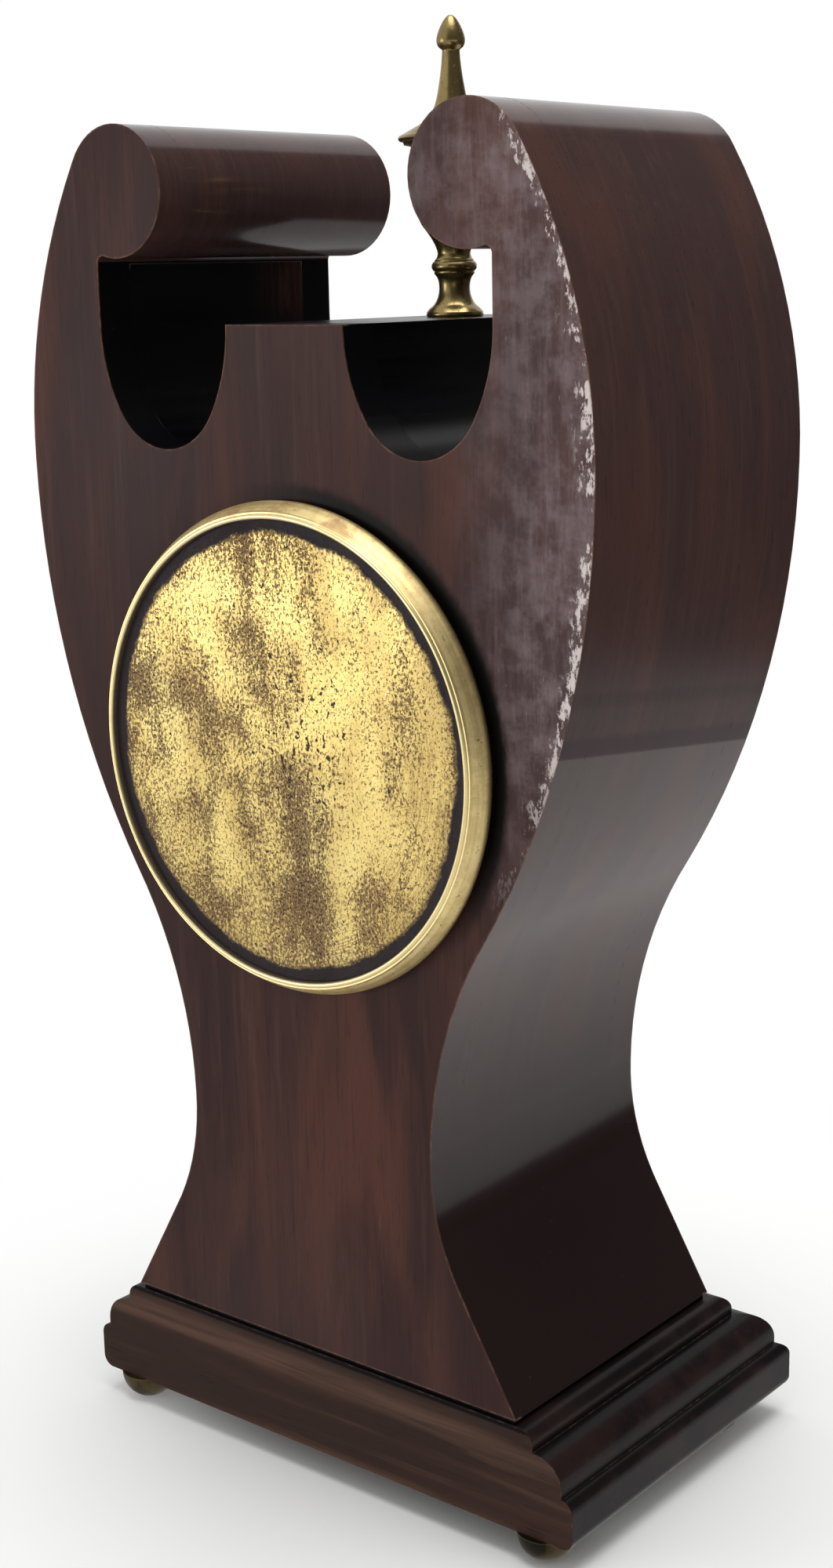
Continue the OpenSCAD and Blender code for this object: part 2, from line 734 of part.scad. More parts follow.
module bezel() {
    color(aged_brass) at_dial() difference() {
        union() {
            turned([
                [sight_r, glass_seat_y - 0.9], [sight_r + 2.8, glass_seat_y - 1.3],
                [sight_r + 4, glass_seat_y - 1.1],
                [sight_r + 4.8, glass_seat_y - 0.3], [sight_r + 5.6, glass_seat_y + 1.2],
                [bezel_r - 2.4, glass_seat_y + 2.1], [bezel_r - 0.8, glass_seat_y + 2.5],
                [bezel_r, glass_seat_y + 3.1], [bezel_r, bezel_y],
                [sleeve_in_r - 0.3, bezel_y], [sleeve_in_r - 0.3, bezel_y + 0.9],
                [sleeve_in_r - 0.9, bezel_y + 0.9], [sleeve_in_r - 0.9, glass_seat_y],
                [sight_r, glass_seat_y]
            ]);
            translate([hinge_x, hinge_y, -knuckle_half]) {
                cylinder(r = knuckle_r, h = 2 * knuckle_half, $fn = small_fn);
                translate([0, -0.5, 0]) cube([3.2, 1, 2 * knuckle_half]);
            }
        }
        translate([hinge_x, hinge_y, -10])
            cylinder(r = hinge_pin_r + run_gap, h = 20, $fn = small_fn);
    }
}
module hinge_pin() {
    half = knuckle_half + knuckle_gap + knuckle_l;
    color(aged_brass) at_dial() translate([hinge_x, hinge_y, -half])
        cylinder(r = hinge_pin_r, h = 2 * half, $fn = small_fn);
}
glass_r = sleeve_in_r - 0.95;
module bezel_glass() {
    outer_r = (sight_r * sight_r + glass_rise * glass_rise) / (2 * glass_rise);
    edge_a = asin(sight_r / outer_r);
    centre_y = glass_seat_y - glass_rise + outer_r;
    color([0.85, 0.9, 0.92, 0.35]) at_dial() turned(concat(
        [[glass_r, glass_seat_y + glass_t], [glass_r, glass_seat_y]],
        [for (p = arc([0, centre_y], outer_r, -90 + edge_a, -90, 8)) p],
        [for (p = arc([0, centre_y + glass_t], outer_r, -90, -90 + edge_a, 8)) p]
    ));
}
module glass_ring() {
    color(aged_brass) at_dial() tube_y(glass_r, glass_r - 0.9, glass_seat_y + glass_t,
        glass_seat_y + glass_t + 0.8, round_fn);
}
module dial_pan() {
    color(movement_brass) at_dial() {
        difference() {
            slab(pan_y, pan_back_y) circle(r = dial_r + 0.2, $fn = round_fn);
            rod_y(hour_pipe_r + 0.5, pan_y - 1, pan_back_y + 1);
        }
        for (a = dial_feet) translate([dial_foot_at * cos(a), 0, dial_foot_at * sin(a)])
            rod_y(dial_foot_r, pan_back_y - eps, front_plate_y + plate_t);
    }
}
module dial() {
    color(enamel_white) at_dial() slab(dial_y, pan_y) difference() {
        circle(r = dial_r, $fn = round_fn);
        circle(r = hour_pipe_r + 0.5, $fn = small_fn);
    }
}

// Hands
pipe_r = 1.35;
hour_pipe_r = 2.1;
hour_hand_y = dial_y - 1.3;
minute_hand_y = hour_hand_y - 1.3;
arbor_tip_y = minute_hand_y - 1.3;
module hand_shape(length, boss, bore, spade) {
    difference() {
        union() {
            circle(r = boss, $fn = small_fn);
            polygon([[-0.75, 0], [0.75, 0], [0.5, length - 2 * spade], [-0.5, length - 2 * spade]]);
            translate([0, length - 2 * spade]) difference() {
                circle(r = spade * 0.62, $fn = small_fn);
                circle(r = spade * 0.3, $fn = small_fn);
            }
            polygon([[-0.8, length - 1.5 * spade], [0.8, length - 1.5 * spade], [0.12, length],
                [-0.12, length]]);
            polygon([[-0.8, -5], [0.8, -5], [0.5, 0], [-0.5, 0]]);
        }
        circle(r = bore, $fn = small_fn);
    }
}
module hour_hand() {
    color(blued_steel) at_dial() slab(hour_hand_y, hour_hand_y + hand_t)
        rotate(60) hand_shape(hour_len, 3.2, hour_pipe_r, 4.6);
}
module minute_hand() {
    color(blued_steel) at_dial() slab(minute_hand_y, minute_hand_y + hand_t)
        rotate(-60) hand_shape(minute_len, 2.4, pipe_r, 3.6);
}
module hand_collet() {
    color(movement_brass) at_dial() tube_y(1.9, centre_bore_r - run_gap, minute_hand_y - 0.7,
        minute_hand_y);
}

// Back ring and cap
cap_start_y = back_y + back_flange_t + 0.3;
cap_lip_y = back_y + cap_h;
cap_bore_r = sleeve_r + cap_gap;
cap_disc_r = cap_bore_r + 0.5;
cap_lip_r = cap_disc_r + cap_lip_w;
cap_base_r = cap_lip_r + cap_flare;
disc_y = cap_lip_y - cap_recess - cap_disc_t;
ring_end_y = disc_y - 0.15;
lug_t = 2;
lug_x = sleeve_in_r - 3.5;
module back_ring() {
    color(aged_brass) at_dial() difference() {
        union() {
            turned([
                [sleeve_in_r, back_y - sleeve_depth], [sleeve_r, back_y - sleeve_depth],
                [sleeve_r, back_y], [cap_base_r - 0.9, back_y], [cap_base_r - 0.9, back_y + back_flange_t],
                [sleeve_r, back_y + back_flange_t], [sleeve_r, ring_end_y], [sleeve_in_r, ring_end_y]
            ]);
            intersection() {
                rod_y(sleeve_in_r + eps, back_y - lug_t, back_y, round_fn);
                both_sides() translate([lug_x - 3.5, back_y - lug_t, -strap_w / 2])
                    cube([10, lug_t, strap_w]);
            }
        }
        both_sides() translate([lug_x, 0, 0]) rod_y(strap_screw_r, back_y - lug_t - 1, back_y + 1);
    }
}
module cap_ring() {
    color(aged_brass) at_dial() turned([
        [cap_bore_r, cap_start_y], [cap_base_r - 0.2, cap_start_y], [cap_base_r, cap_start_y + 0.3],
        [cap_base_r - 0.1, cap_start_y + 1.2], [cap_lip_r + 0.4, cap_lip_y - 1.2],
        [cap_lip_r, cap_lip_y - 0.4], [cap_lip_r - 0.5, cap_lip_y], [cap_disc_r + 0.1, cap_lip_y],
        [cap_disc_r, cap_lip_y - 0.4], [cap_disc_r, disc_y], [cap_bore_r, disc_y]
    ]);
}
module cap_disc() {
    groove = cap_disc_r - 2.2;
    color(aged_brass) at_dial() turned([
        [0, disc_y], [cap_disc_r, disc_y], [cap_disc_r, disc_y + cap_disc_t],
        [groove + 1, disc_y + cap_disc_t],
        [groove, disc_y + cap_disc_t - 0.35], [groove - 1, disc_y + cap_disc_t],
        [0, disc_y + cap_disc_t]
    ]);
}
strap_in_x = sleeve_in_r - 0.05;
strap_end_y = back_y - 20;
strap_foot_t = 3;
module straps() {
    color(movement_brass) at_dial() both_sides() difference() {
        union() {
            intersection() {
                translate([strap_in_x - 4, pan_back_y + ledge_t, -strap_w / 2])
                    cube([6, strap_end_y - pan_back_y - ledge_t, strap_w]);
                tube_y(strap_in_x, strap_in_x - strap_t, front_y, back_y, round_fn);
            }
            intersection() {
                translate([lug_x - 2.6, strap_end_y - strap_foot_t, -strap_w / 2])
                    cube([8, strap_foot_t, strap_w]);
                rod_y(strap_in_x, front_y, back_y, round_fn);
            }
        }
        translate([lug_x, 0, 0]) rod_y(strap_screw_r, strap_end_y - 5, strap_end_y + 1);
    }
}
module strap_screws() {
    color(bright_steel) at_dial() both_sides() translate([lug_x, 0, 0]) {
        rod_y(strap_screw_r, strap_end_y - strap_foot_t - 1.5, back_y);
        difference() {
            rod_y(2.3, back_y, back_y + 1.8);
            translate([-3, back_y + 1.1, -0.3]) cube([6, 2, 0.6]);
        }
    }
}

// Movement frame
module plate_holes(y0, y1, tube) {
    for (h = [
        [intermediate_at, pivot_r], [centre_at, centre_pivot_r], [third_at, pivot_r],
        [fourth_at, pivot_r], [escape_at, tube], [barrel_at, barrel_pivot_r]
    ]) translate([h[0][0], 0, h[0][1]]) rod_y(h[1] + run_gap, y0 - 1, y1 + 1);
    for (a = pillar_angles) translate([pillar_at * cos(a), 0, pillar_at * sin(a)])
        rod_y(screw_r, y0 - 1, y1 + 1);
}
module front_plate() {
    color(movement_brass) at_dial() {
        difference() {
            rod_y(plate_r, front_plate_y, inside_y, round_fn);
            plate_holes(front_plate_y, inside_y, pivot_r);
            for (a = dial_feet) translate([dial_foot_at * cos(a), 0, dial_foot_at * sin(a)])
                rod_y(dial_foot_r, front_plate_y - 1, inside_y + 1);
        }
        translate([minute_at[0], 0, minute_at[1]])
            rod_y(minute_post_r, pan_back_y + 0.2, front_plate_y + eps);
    }
}
module back_plate() {
    color(movement_brass) at_dial() difference() {
        rod_y(plate_r, back_plate_y, outside_y, round_fn);
        plate_holes(back_plate_y, outside_y, 1.8);
    }
}
module pillars() {
    color(movement_brass) at_dial() for (a = pillar_angles)
        translate([pillar_at * cos(a), 0, pillar_at * sin(a)])
            tube_y(pillar_r, screw_r, inside_y, back_plate_y);
}
module pillar_screws() {
    color(blued_steel) at_dial() for (a = pillar_angles, s = [0, 1])
        translate([pillar_at * cos(a), 0, pillar_at * sin(a)]) {
            if (s == 0) {
                rod_y(screw_r, front_plate_y, inside_y + 7);
                rod_y(1.9, front_plate_y - 1.2, front_plate_y);
            } else {
                rod_y(screw_r, back_plate_y - 7, outside_y);
                rod_y(1.9, outside_y, outside_y + 1.2);
            }
        }
}

// Going barrel and winding work
barrel_y = inside_y + great_s;
module barrel() {
    turn = angle_of(intermediate_at - barrel_at);
    color(movement_brass) at_wheel(barrel_at) {
        slab(barrel_y, barrel_y + great_t) difference() {
            polygon(gear_points(great_teeth, great_m, turn));
            circle(r = barrel_arbor_r + run_gap, $fn = small_fn);
        }
        tube_y(barrel_r, barrel_r - barrel_wall, barrel_y + great_t - eps, barrel_y + barrel_h, round_fn);
    }
}
module barrel_cover() {
    color(movement_brass) at_wheel(barrel_at)
        tube_y(barrel_r, barrel_arbor_r + run_gap, barrel_y + barrel_h, barrel_y + barrel_h + cover_t,
            round_fn);
}
function spiral(r0, r1, coils, steps) =
    [for (i = [0:coils * steps]) polar(r0 + (r1 - r0) * i / (coils * steps), 360 * i / steps)];
function strip(r0, r1, coils, steps, t) =
    concat(spiral(r0, r1 - t, coils, steps), reversed(spiral(r0 + t, r1, coils, steps)));
module mainspring() {
    color(blued_steel) at_wheel(barrel_at) slab(barrel_y + great_t + 0.4, barrel_y + barrel_h - 0.4)
        polygon(strip(hub_r + 0.6, barrel_r - barrel_wall, mainspring_coils, 24, mainspring_t));
}
module barrel_arbor() {
    color(bright_steel) at_wheel(barrel_at) {
        rod_y(barrel_pivot_r, front_plate_y, outside_y);
        rod_y(barrel_arbor_r, inside_y + shake, back_plate_y - shake);
        rod_y(hub_r, barrel_y + great_t + shake, barrel_y + barrel_h - shake);
        square_y(winding_square, outside_y - eps, outside_y + square_l);
    }
}
module square_y(side, y0, y1) {
    translate([-side / 2, y0, -side / 2]) cube([side, y1 - y0, side]);
}
ratchet_t = 1.4;
module ratchet_wheel() {
    pitch = 360 / ratchet_teeth;
    color(bright_steel) at_wheel(barrel_at) slab(ratchet_y, ratchet_y + ratchet_t) difference() {
        polygon([
            for (i = [0:ratchet_teeth - 1])
                each [polar(ratchet_r, i * pitch - 3.2), polar(ratchet_r - ratchet_depth, i * pitch - 2.2)]
        ]);
        square(winding_square, center = true);
    }
}
module click() {
    color(bright_steel) at_wheel(click_at) {
        slab(ratchet_y, ratchet_y + click_t) difference() {
            union() {
                circle(r = 1.7, $fn = small_fn);
                polygon([[-1.45, -7.3], [-1.2, -7.9], [0.1, -7.5], [0.9, -5], [1.2, 0], [-0.9, 0],
                    [-0.5, -6.2]]);
                polygon([[-1, 0], [1, 0], [0.6, 4.2], [-0.6, 4.2]]);
            }
            circle(r = 0.8 + run_gap, $fn = small_fn);
        }
    }
}
module click_spring() {
    color(bright_steel) at_wheel(click_at) {
        rod_y(0.8, outside_y, ratchet_y + click_t + 0.2);
        rod_y(1.5, ratchet_y + click_t + 0.2, ratchet_y + click_t + 0.8);
        slab(outside_y, outside_y + 1) translate([9, -9]) difference() {
            union() {
                circle(r = 1.8, $fn = small_fn);
                polygon([[-1.6, 0.6], [-1, 1.4], [-6.2, 3.6], [-6.4, 3.2]]);
            }
        }
        translate([9, 0, -9]) rod_y(1.3, outside_y + 1, outside_y + 1.6);
    }
}

// Train
module intermediate_wheel() {
    wheel_y = inside_y + back_s;
    color(movement_brass) at_wheel(intermediate_at) {
        arbor_rod(intermediate_arbor_r, pivot_r);
        slab(inside_y + great_s - 0.6, inside_y + great_s + great_t + 0.6)
            pinion_shape(intermediate_leaves, great_m, angle_of(barrel_at - intermediate_at), 0);
        slab(wheel_y, wheel_y + wheel_t) wheel_shape(intermediate_teeth, intermediate_m,
            angle_of(centre_at - intermediate_at), 0.2, 2.6, 1.5, 5);
    }
}
module centre_wheel() {
    wheel_y = inside_y + centre_s;
    color(movement_brass) at_dial() slab(wheel_y, wheel_y + wheel_t) wheel_shape(centre_teeth,
        centre_m, angle_of(third_at), centre_tube_r, 3, 1.5, 5);
}
module centre_arbor() {
    color(bright_steel) at_dial() {
        tube_y(centre_pivot_r, centre_bore_r, front_plate_y - 0.4, outside_y + 0.4);
        tube_y(centre_tube_r, centre_bore_r, inside_y + shake, back_plate_y - shake);
        slab(inside_y + back_s - 0.8, inside_y + back_s + wheel_t + 0.8)
            pinion_shape(centre_leaves, intermediate_m, angle_of(intermediate_at), centre_bore_r);
    }
}
module third_wheel() {
    wheel_y = inside_y + third_s;
    color(movement_brass) at_wheel(third_at) {
        arbor_rod(arbor_r, pivot_r);
        slab(inside_y + centre_s - 0.4, inside_y + centre_s + wheel_t + 0.6)
            pinion_shape(train_leaves, centre_m, angle_of(-third_at), 0);
        slab(wheel_y, wheel_y + wheel_t) wheel_shape(third_teeth, third_m,
            angle_of(fourth_at - third_at), 0.2, 2.2, 1.3, 4);
    }
}
module fourth_wheel() {
    wheel_y = inside_y + fourth_s;
    color(movement_brass) at_wheel(fourth_at) {
        arbor_rod(arbor_r, pivot_r);
        slab(inside_y + third_s - 0.8, inside_y + third_s + wheel_t + 0.8)
            pinion_shape(train_leaves, third_m, angle_of(third_at - fourth_at), 0);
        slab(wheel_y, wheel_y + 0.8) wheel_shape(fourth_teeth, fourth_m,
            angle_of(escape_at - fourth_at), 0.2, 1.8, 1.1, 4);
    }
}

// Platform escapement on the back plate
module platform() {
    color(movement_brass) at_dial() slab(outside_y, platform_y) difference() {
        translate([-17.5, escape_at[1] - 8.5]) square([33, 17]);
        translate(escape_at) circle(r = 1.8, $fn = small_fn);
        translate(lever_at) circle(r = 0.3 + run_gap, $fn = small_fn);
        translate(balance_c) circle(r = staff_r + run_gap, $fn = small_fn);
    }
}
module escape_wheel() {
    pitch = 360 / escape_teeth;
    color(movement_brass) at_wheel(escape_at) {
        rod_y(pivot_r, front_plate_y, cock_y + cock_t, 32);
        rod_y(0.75, inside_y + shake, escape_y, 32);
        slab(inside_y + fourth_s - 0.6, back_plate_y - 0.6)
            pinion_shape(train_leaves, fourth_m, angle_of(fourth_at - escape_at), 0);
        slab(escape_y, escape_y + escape_t) difference() {
            polygon([
                for (i = [0:escape_teeth - 1])
                    each [polar(escape_r - 1.1, i * pitch - 4.5), polar(escape_r, i * pitch - 1.5),
                        polar(escape_r, i * pitch + 1.5), polar(escape_r - 1.1, i * pitch + 2.5)]
            ]);
            difference() {
                circle(r = escape_r - 1.8, $fn = small_fn);
                circle(r = 1.1, $fn = small_fn);
                for (a = [0:90:270]) rotate(a) translate([0, -0.25]) square([escape_r - 1.5, 0.5]);
            }
        }
    }
}
module escape_cock() {
    color(movement_brass) at_dial() difference() {
        union() {
            slab(cock_y, cock_y + cock_t) translate([-17.2, escape_at[1] - 2])
                square([lever_at[0] + 19.2, 4]);
            slab(platform_y, cock_y + eps) translate([-17.2, escape_at[1] - 2]) square([3.4, 4]);
        }
        translate([escape_at[0], 0, escape_at[1]]) rod_y(pivot_r + run_gap, cock_y - 1, cock_y + cock_t + 1);
        translate([lever_at[0], 0, lever_at[1]]) rod_y(0.3 + run_gap, cock_y - 1, cock_y + cock_t + 1);
    }
}
module lever() {
    stone = [escape_r * cos(30) + 0.15 - pallet_at, escape_r * sin(30) + 0.1];
    color(bright_steel) at_wheel(lever_at) {
        rod_y(0.3, outside_y, cock_y + cock_t, 32);
        slab(lever_y, lever_y + lever_t) {
            circle(r = 0.8, $fn = 32);
            for (s = [-1, 1]) {
                polygon([[-0.2, 0], [0.6, 0.6 * s], [stone[0] + 0.9, (stone[1] + 0.3) * s],
                    [stone[0] + 0.1, (stone[1] + 0.5) * s], [stone[0] + 0.1, stone[1] * s]]);
                polygon([[4.2, 0], [5.2, 0.6 * s], [5.2, 1.1 * s], [3.9, 0.4 * s]]);
            }
            translate([0, -0.35]) square([4.4, 0.7]);
        }
    }
}
module balance_wheel() {
    color(movement_brass) at_wheel(balance_c) {
        rod_y(staff_r, outside_y, balance_cock_y + balance_cock_t, 32);
        rod_y(roller_r, lever_y, lever_y + 0.6);
        rod_y(1.3, balance_y - 0.4, hairspring_y + hairspring_h);
        slab(balance_y, balance_y + balance_t) {
            difference() {
                circle(r = balance_r, $fn = round_fn);
                circle(r = balance_r - 0.8, $fn = round_fn);
            }
            rotate(35) translate([-balance_r + 0.4, -0.4]) square([2 * balance_r - 0.8, 0.8]);
        }
    }
}
stud_r = 5.3;
module hairspring() {
    color(blued_steel) at_wheel(balance_c) slab(hairspring_y, hairspring_y + hairspring_h)
        polygon(strip(1.7, stud_r, hairspring_coils, 24, 0.12));
}
module balance_cock() {
    foot_x0 = balance_c[0] + balance_r + 0.9;
    color(movement_brass) at_dial() {
        difference() {
            slab(balance_cock_y, balance_cock_y + balance_cock_t) union() {
                translate(balance_c) circle(r = 2.2, $fn = small_fn);
                translate([balance_c[0], balance_c[1] - 1.6]) square([15.2 - balance_c[0], 3.2]);
            }
            translate([balance_c[0], 0, balance_c[1]])
                rod_y(staff_r + run_gap, balance_cock_y - 1, balance_cock_y + balance_cock_t + 1);
        }
        slab(platform_y, balance_cock_y + eps) translate([foot_x0, balance_c[1] - 3])
            square([15.2 - foot_x0, 6]);
        translate([balance_c[0] + stud_r + 0.35, 0, balance_c[1]])
            rod_y(0.35, hairspring_y, balance_cock_y + eps, 32);
    }
}
regulator_y = balance_cock_y + balance_cock_t + 0.1;
module regulator() {
    color(bright_steel) at_wheel(balance_c) {
        slab(regulator_y, regulator_y + 0.6) difference() {
            union() {
                circle(r = 1.7, $fn = small_fn);
                rotate(115) polygon([[0, -0.6], [7.4, -0.35], [8.6, 0], [7.4, 0.35], [0, 0.6]]);
            }
            circle(r = staff_r + 0.15, $fn = small_fn);
        }
    }
}

// Hand setting and motion work
cannon_y = front_plate_y - 3.1;
cannon_t = 2.5;
minute_y = front_plate_y - 2.9;
minute_t = 1;
minute_pinion_y = front_plate_y - 5;
hour_y = front_plate_y - 4.9;
hour_t = 1;
module hand_arbor() {
    color(bright_steel) at_dial() {
        rod_y(centre_bore_r - run_gap, arbor_tip_y, outside_y + 1.2);
        rod_y(1.6, outside_y + 0.9, outside_y + 1.9);
        square_y(setting_square, outside_y + 1.9 - eps, outside_y + square_l);
    }
}
module cannon_pinion() {
    color(bright_steel) at_dial() {
        slab(cannon_y, cannon_y + cannon_t) pinion_shape(cannon_leaves, cannon_m,
            angle_of(minute_at), centre_bore_r - run_gap);
        tube_y(pipe_r, centre_bore_r - run_gap, minute_hand_y, cannon_y + eps);
    }
}
module minute_wheel() {
    bore = minute_post_r + run_gap;
    color(movement_brass) at_wheel(minute_at) {
        slab(minute_y, minute_y + minute_t) wheel_shape(minute_teeth, cannon_m,
            angle_of(-minute_at), bore, 2.8, 1.2, 4);
        slab(minute_pinion_y, minute_y + eps)
            pinion_shape(minute_leaves, hour_m, angle_of(-minute_at), bore);
    }
}
module hour_wheel() {
    bore = pipe_r + run_gap + 0.02;
    color(movement_brass) at_dial() {
        slab(hour_y, hour_y + hour_t)
            wheel_shape(hour_teeth, hour_m, angle_of(minute_at), bore, 3, 1.2, 4);
        tube_y(hour_pipe_r, bore, hour_hand_y - 0.3, hour_y + eps);
    }
}

back_panel();
front_panel();
side_left();
side_right();
scroll_left();
scroll_right();
arch_liner_left();
arch_liner_right();
top_board();
bottom_board();
glue_blocks();
plinth();
feet();
foot_screws();
finial_vase();
finial_lid();
finial_rod();
bezel_ring();
bezel();
bezel_glass();
glass_ring();
hinge_pin();
dial_pan();
dial();
hour_hand();
minute_hand();
hand_collet();
back_ring();
cap_ring();
cap_disc();
straps();
strap_screws();
front_plate();
back_plate();
pillars();
pillar_screws();
barrel();
barrel_cover();
mainspring();
barrel_arbor();
ratchet_wheel();
click();
click_spring();
intermediate_wheel();
centre_wheel();
centre_arbor();
third_wheel();
fourth_wheel();
platform();
escape_wheel();
escape_cock();
lever();
balance_wheel();
hairspring();
balance_cock();
regulator();
hand_arbor();
cannon_pinion();
minute_wheel();
hour_wheel();
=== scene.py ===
"""Dresses the balloon clock: turned brass, dial, inlay, finishes, floor, lamps and camera."""
from math import asin, atan2, cos, degrees, hypot, pi, radians, sin, tau

import bmesh
import bpy
from mathutils import Matrix, Vector


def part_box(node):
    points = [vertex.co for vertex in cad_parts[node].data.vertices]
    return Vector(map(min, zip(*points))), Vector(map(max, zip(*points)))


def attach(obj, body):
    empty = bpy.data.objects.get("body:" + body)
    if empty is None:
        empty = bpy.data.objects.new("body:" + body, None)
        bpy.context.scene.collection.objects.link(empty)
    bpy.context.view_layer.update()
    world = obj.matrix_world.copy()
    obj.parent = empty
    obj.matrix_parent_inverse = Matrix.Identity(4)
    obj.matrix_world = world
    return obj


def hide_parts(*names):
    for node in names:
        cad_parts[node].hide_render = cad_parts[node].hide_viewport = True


bl_info = {
    "name": "Balloon clock dressing",
    "version": (1, 0, 0),
    "blender": (4, 5, 0),
    "location": "3D View > Sidebar > Clock",
    "description": "Turned brass, dial, inlay and finishes for a mahogany balloon clock",
    "category": "Object",
}

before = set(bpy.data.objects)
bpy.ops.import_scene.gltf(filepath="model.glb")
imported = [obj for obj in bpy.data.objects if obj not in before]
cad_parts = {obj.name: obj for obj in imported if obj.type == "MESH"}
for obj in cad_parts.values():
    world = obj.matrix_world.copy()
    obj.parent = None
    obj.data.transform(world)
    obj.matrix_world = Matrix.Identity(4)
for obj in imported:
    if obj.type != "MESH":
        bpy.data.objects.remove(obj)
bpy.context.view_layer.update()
MM = 0.001


def middle(node):
    """The middle of a CAD node's box."""
    low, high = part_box(node)
    return (low + high) / 2


DIAL = middle("front_plate")
DIAL.y = 0.0
BACK_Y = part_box("back_panel")[1].y
FRONT_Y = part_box("front_panel")[0].y
BODY_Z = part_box("back_panel")[0].z
DIAL_FACE_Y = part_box("dial")[0].y
FINIAL = middle("finial_rod")
# The outline's long arcs, in millimetres over the plinth: height of the bulge, half its width,
# and the radii under and over it.
BULGE_UP = 185.6
BULGE_HALF = 71.5
LOWER_R = 168.0
UPPER_R = 112.5
# The finishes work in the object's own millimetres.
BASE = 1000 * BODY_Z
BULGE_Z = BULGE_UP + BASE
PEDESTAL_Z = 222.0 + BASE
MIDDLE_Y = 500 * (FRONT_Y + BACK_Y)
HALF_DEPTH = 500 * (BACK_Y - FRONT_Y)
CAP_Y = 1000 * BACK_Y
DIAL_X, DIAL_Z = 0.0, 1000 * DIAL.z
CAP_R = 1000 * (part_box("cap_ring")[1].x - DIAL.x)
DISC_R = 1000 * (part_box("cap_disc")[1].x - DIAL.x)
# Where the side's polish changes, over the plinth, and how much it drops towards the front.
VENEER_JOINT = 129.7
JOINT_SLOPE = 0.122
VENEER_TONES = ((0.044, 0.024, 0.0225), (0.066, 0.029, 0.0235), (0.066, 0.038, 0.034))
# The oval fan's middle, its petals, and the half width and height of the line round it.
FAN_Z = BASE + 45.0
PETALS = 16
OVAL = (15.5, 22.0)
# Radius in metres of the foot that stands in each corner of the feet's box.
FOOT_R = 0.0063
# Thickness in metres of the dial's paint and of the inlay's lines.
PAINT = 0.00006
INLAY = 0.00014


class Val:
    """A shader value; sums, products and the like add Math nodes."""

    def __init__(self, finish, socket):
        self.finish = finish
        self.socket = socket

    def math(self, operation, a, b=0.0, clamp=False):
        return self.finish.node("ShaderNodeMath", {"operation": operation, "use_clamp": clamp},
                                {0: a, 1: b})

    def __add__(self, other):
        return self.math("ADD", self, other)

    __radd__ = __add__

    def __sub__(self, other):
        return self.math("SUBTRACT", self, other)

    def __rsub__(self, other):
        return self.math("SUBTRACT", other, self)

    def __mul__(self, other):
        return self.math("MULTIPLY", self, other)

    __rmul__ = __mul__

    def __truediv__(self, other):
        return self.math("DIVIDE", self, other)

    def __neg__(self):
        return self.math("MULTIPLY", self, -1.0)

    def __abs__(self):
        return self.math("ABSOLUTE", self)

    def power(self, other):
        return self.math("POWER", self, other)

    def most(self, other):
        return self.math("MAXIMUM", self, other)

    def above(self, other):
        return self.math("GREATER_THAN", self, other)

    def below(self, other):
        return self.math("LESS_THAN", self, other)

    def held(self):
        return self.math("ADD", self, 0.0, clamp=True)

    def fraction(self):
        return self.math("FRACT", self)

    def angle(self, across):
        """The angle of the direction that goes this far up and so far across."""
        return self.math("ARCTAN2", self, across)

    def near(self, place, full, none):
        """1 up to full away from a place, and 0 from none onwards."""
        return 1.0 - abs(self - place).rise(full, none)

    def rise(self, low, high, start=0.0, end=1.0):
        """Smoothly from start at low to end at high."""
        return self.finish.node(
            "ShaderNodeMapRange", {"interpolation_type": "SMOOTHSTEP"},
            {0: self, 1: low, 2: high, 3: start, 4: end})


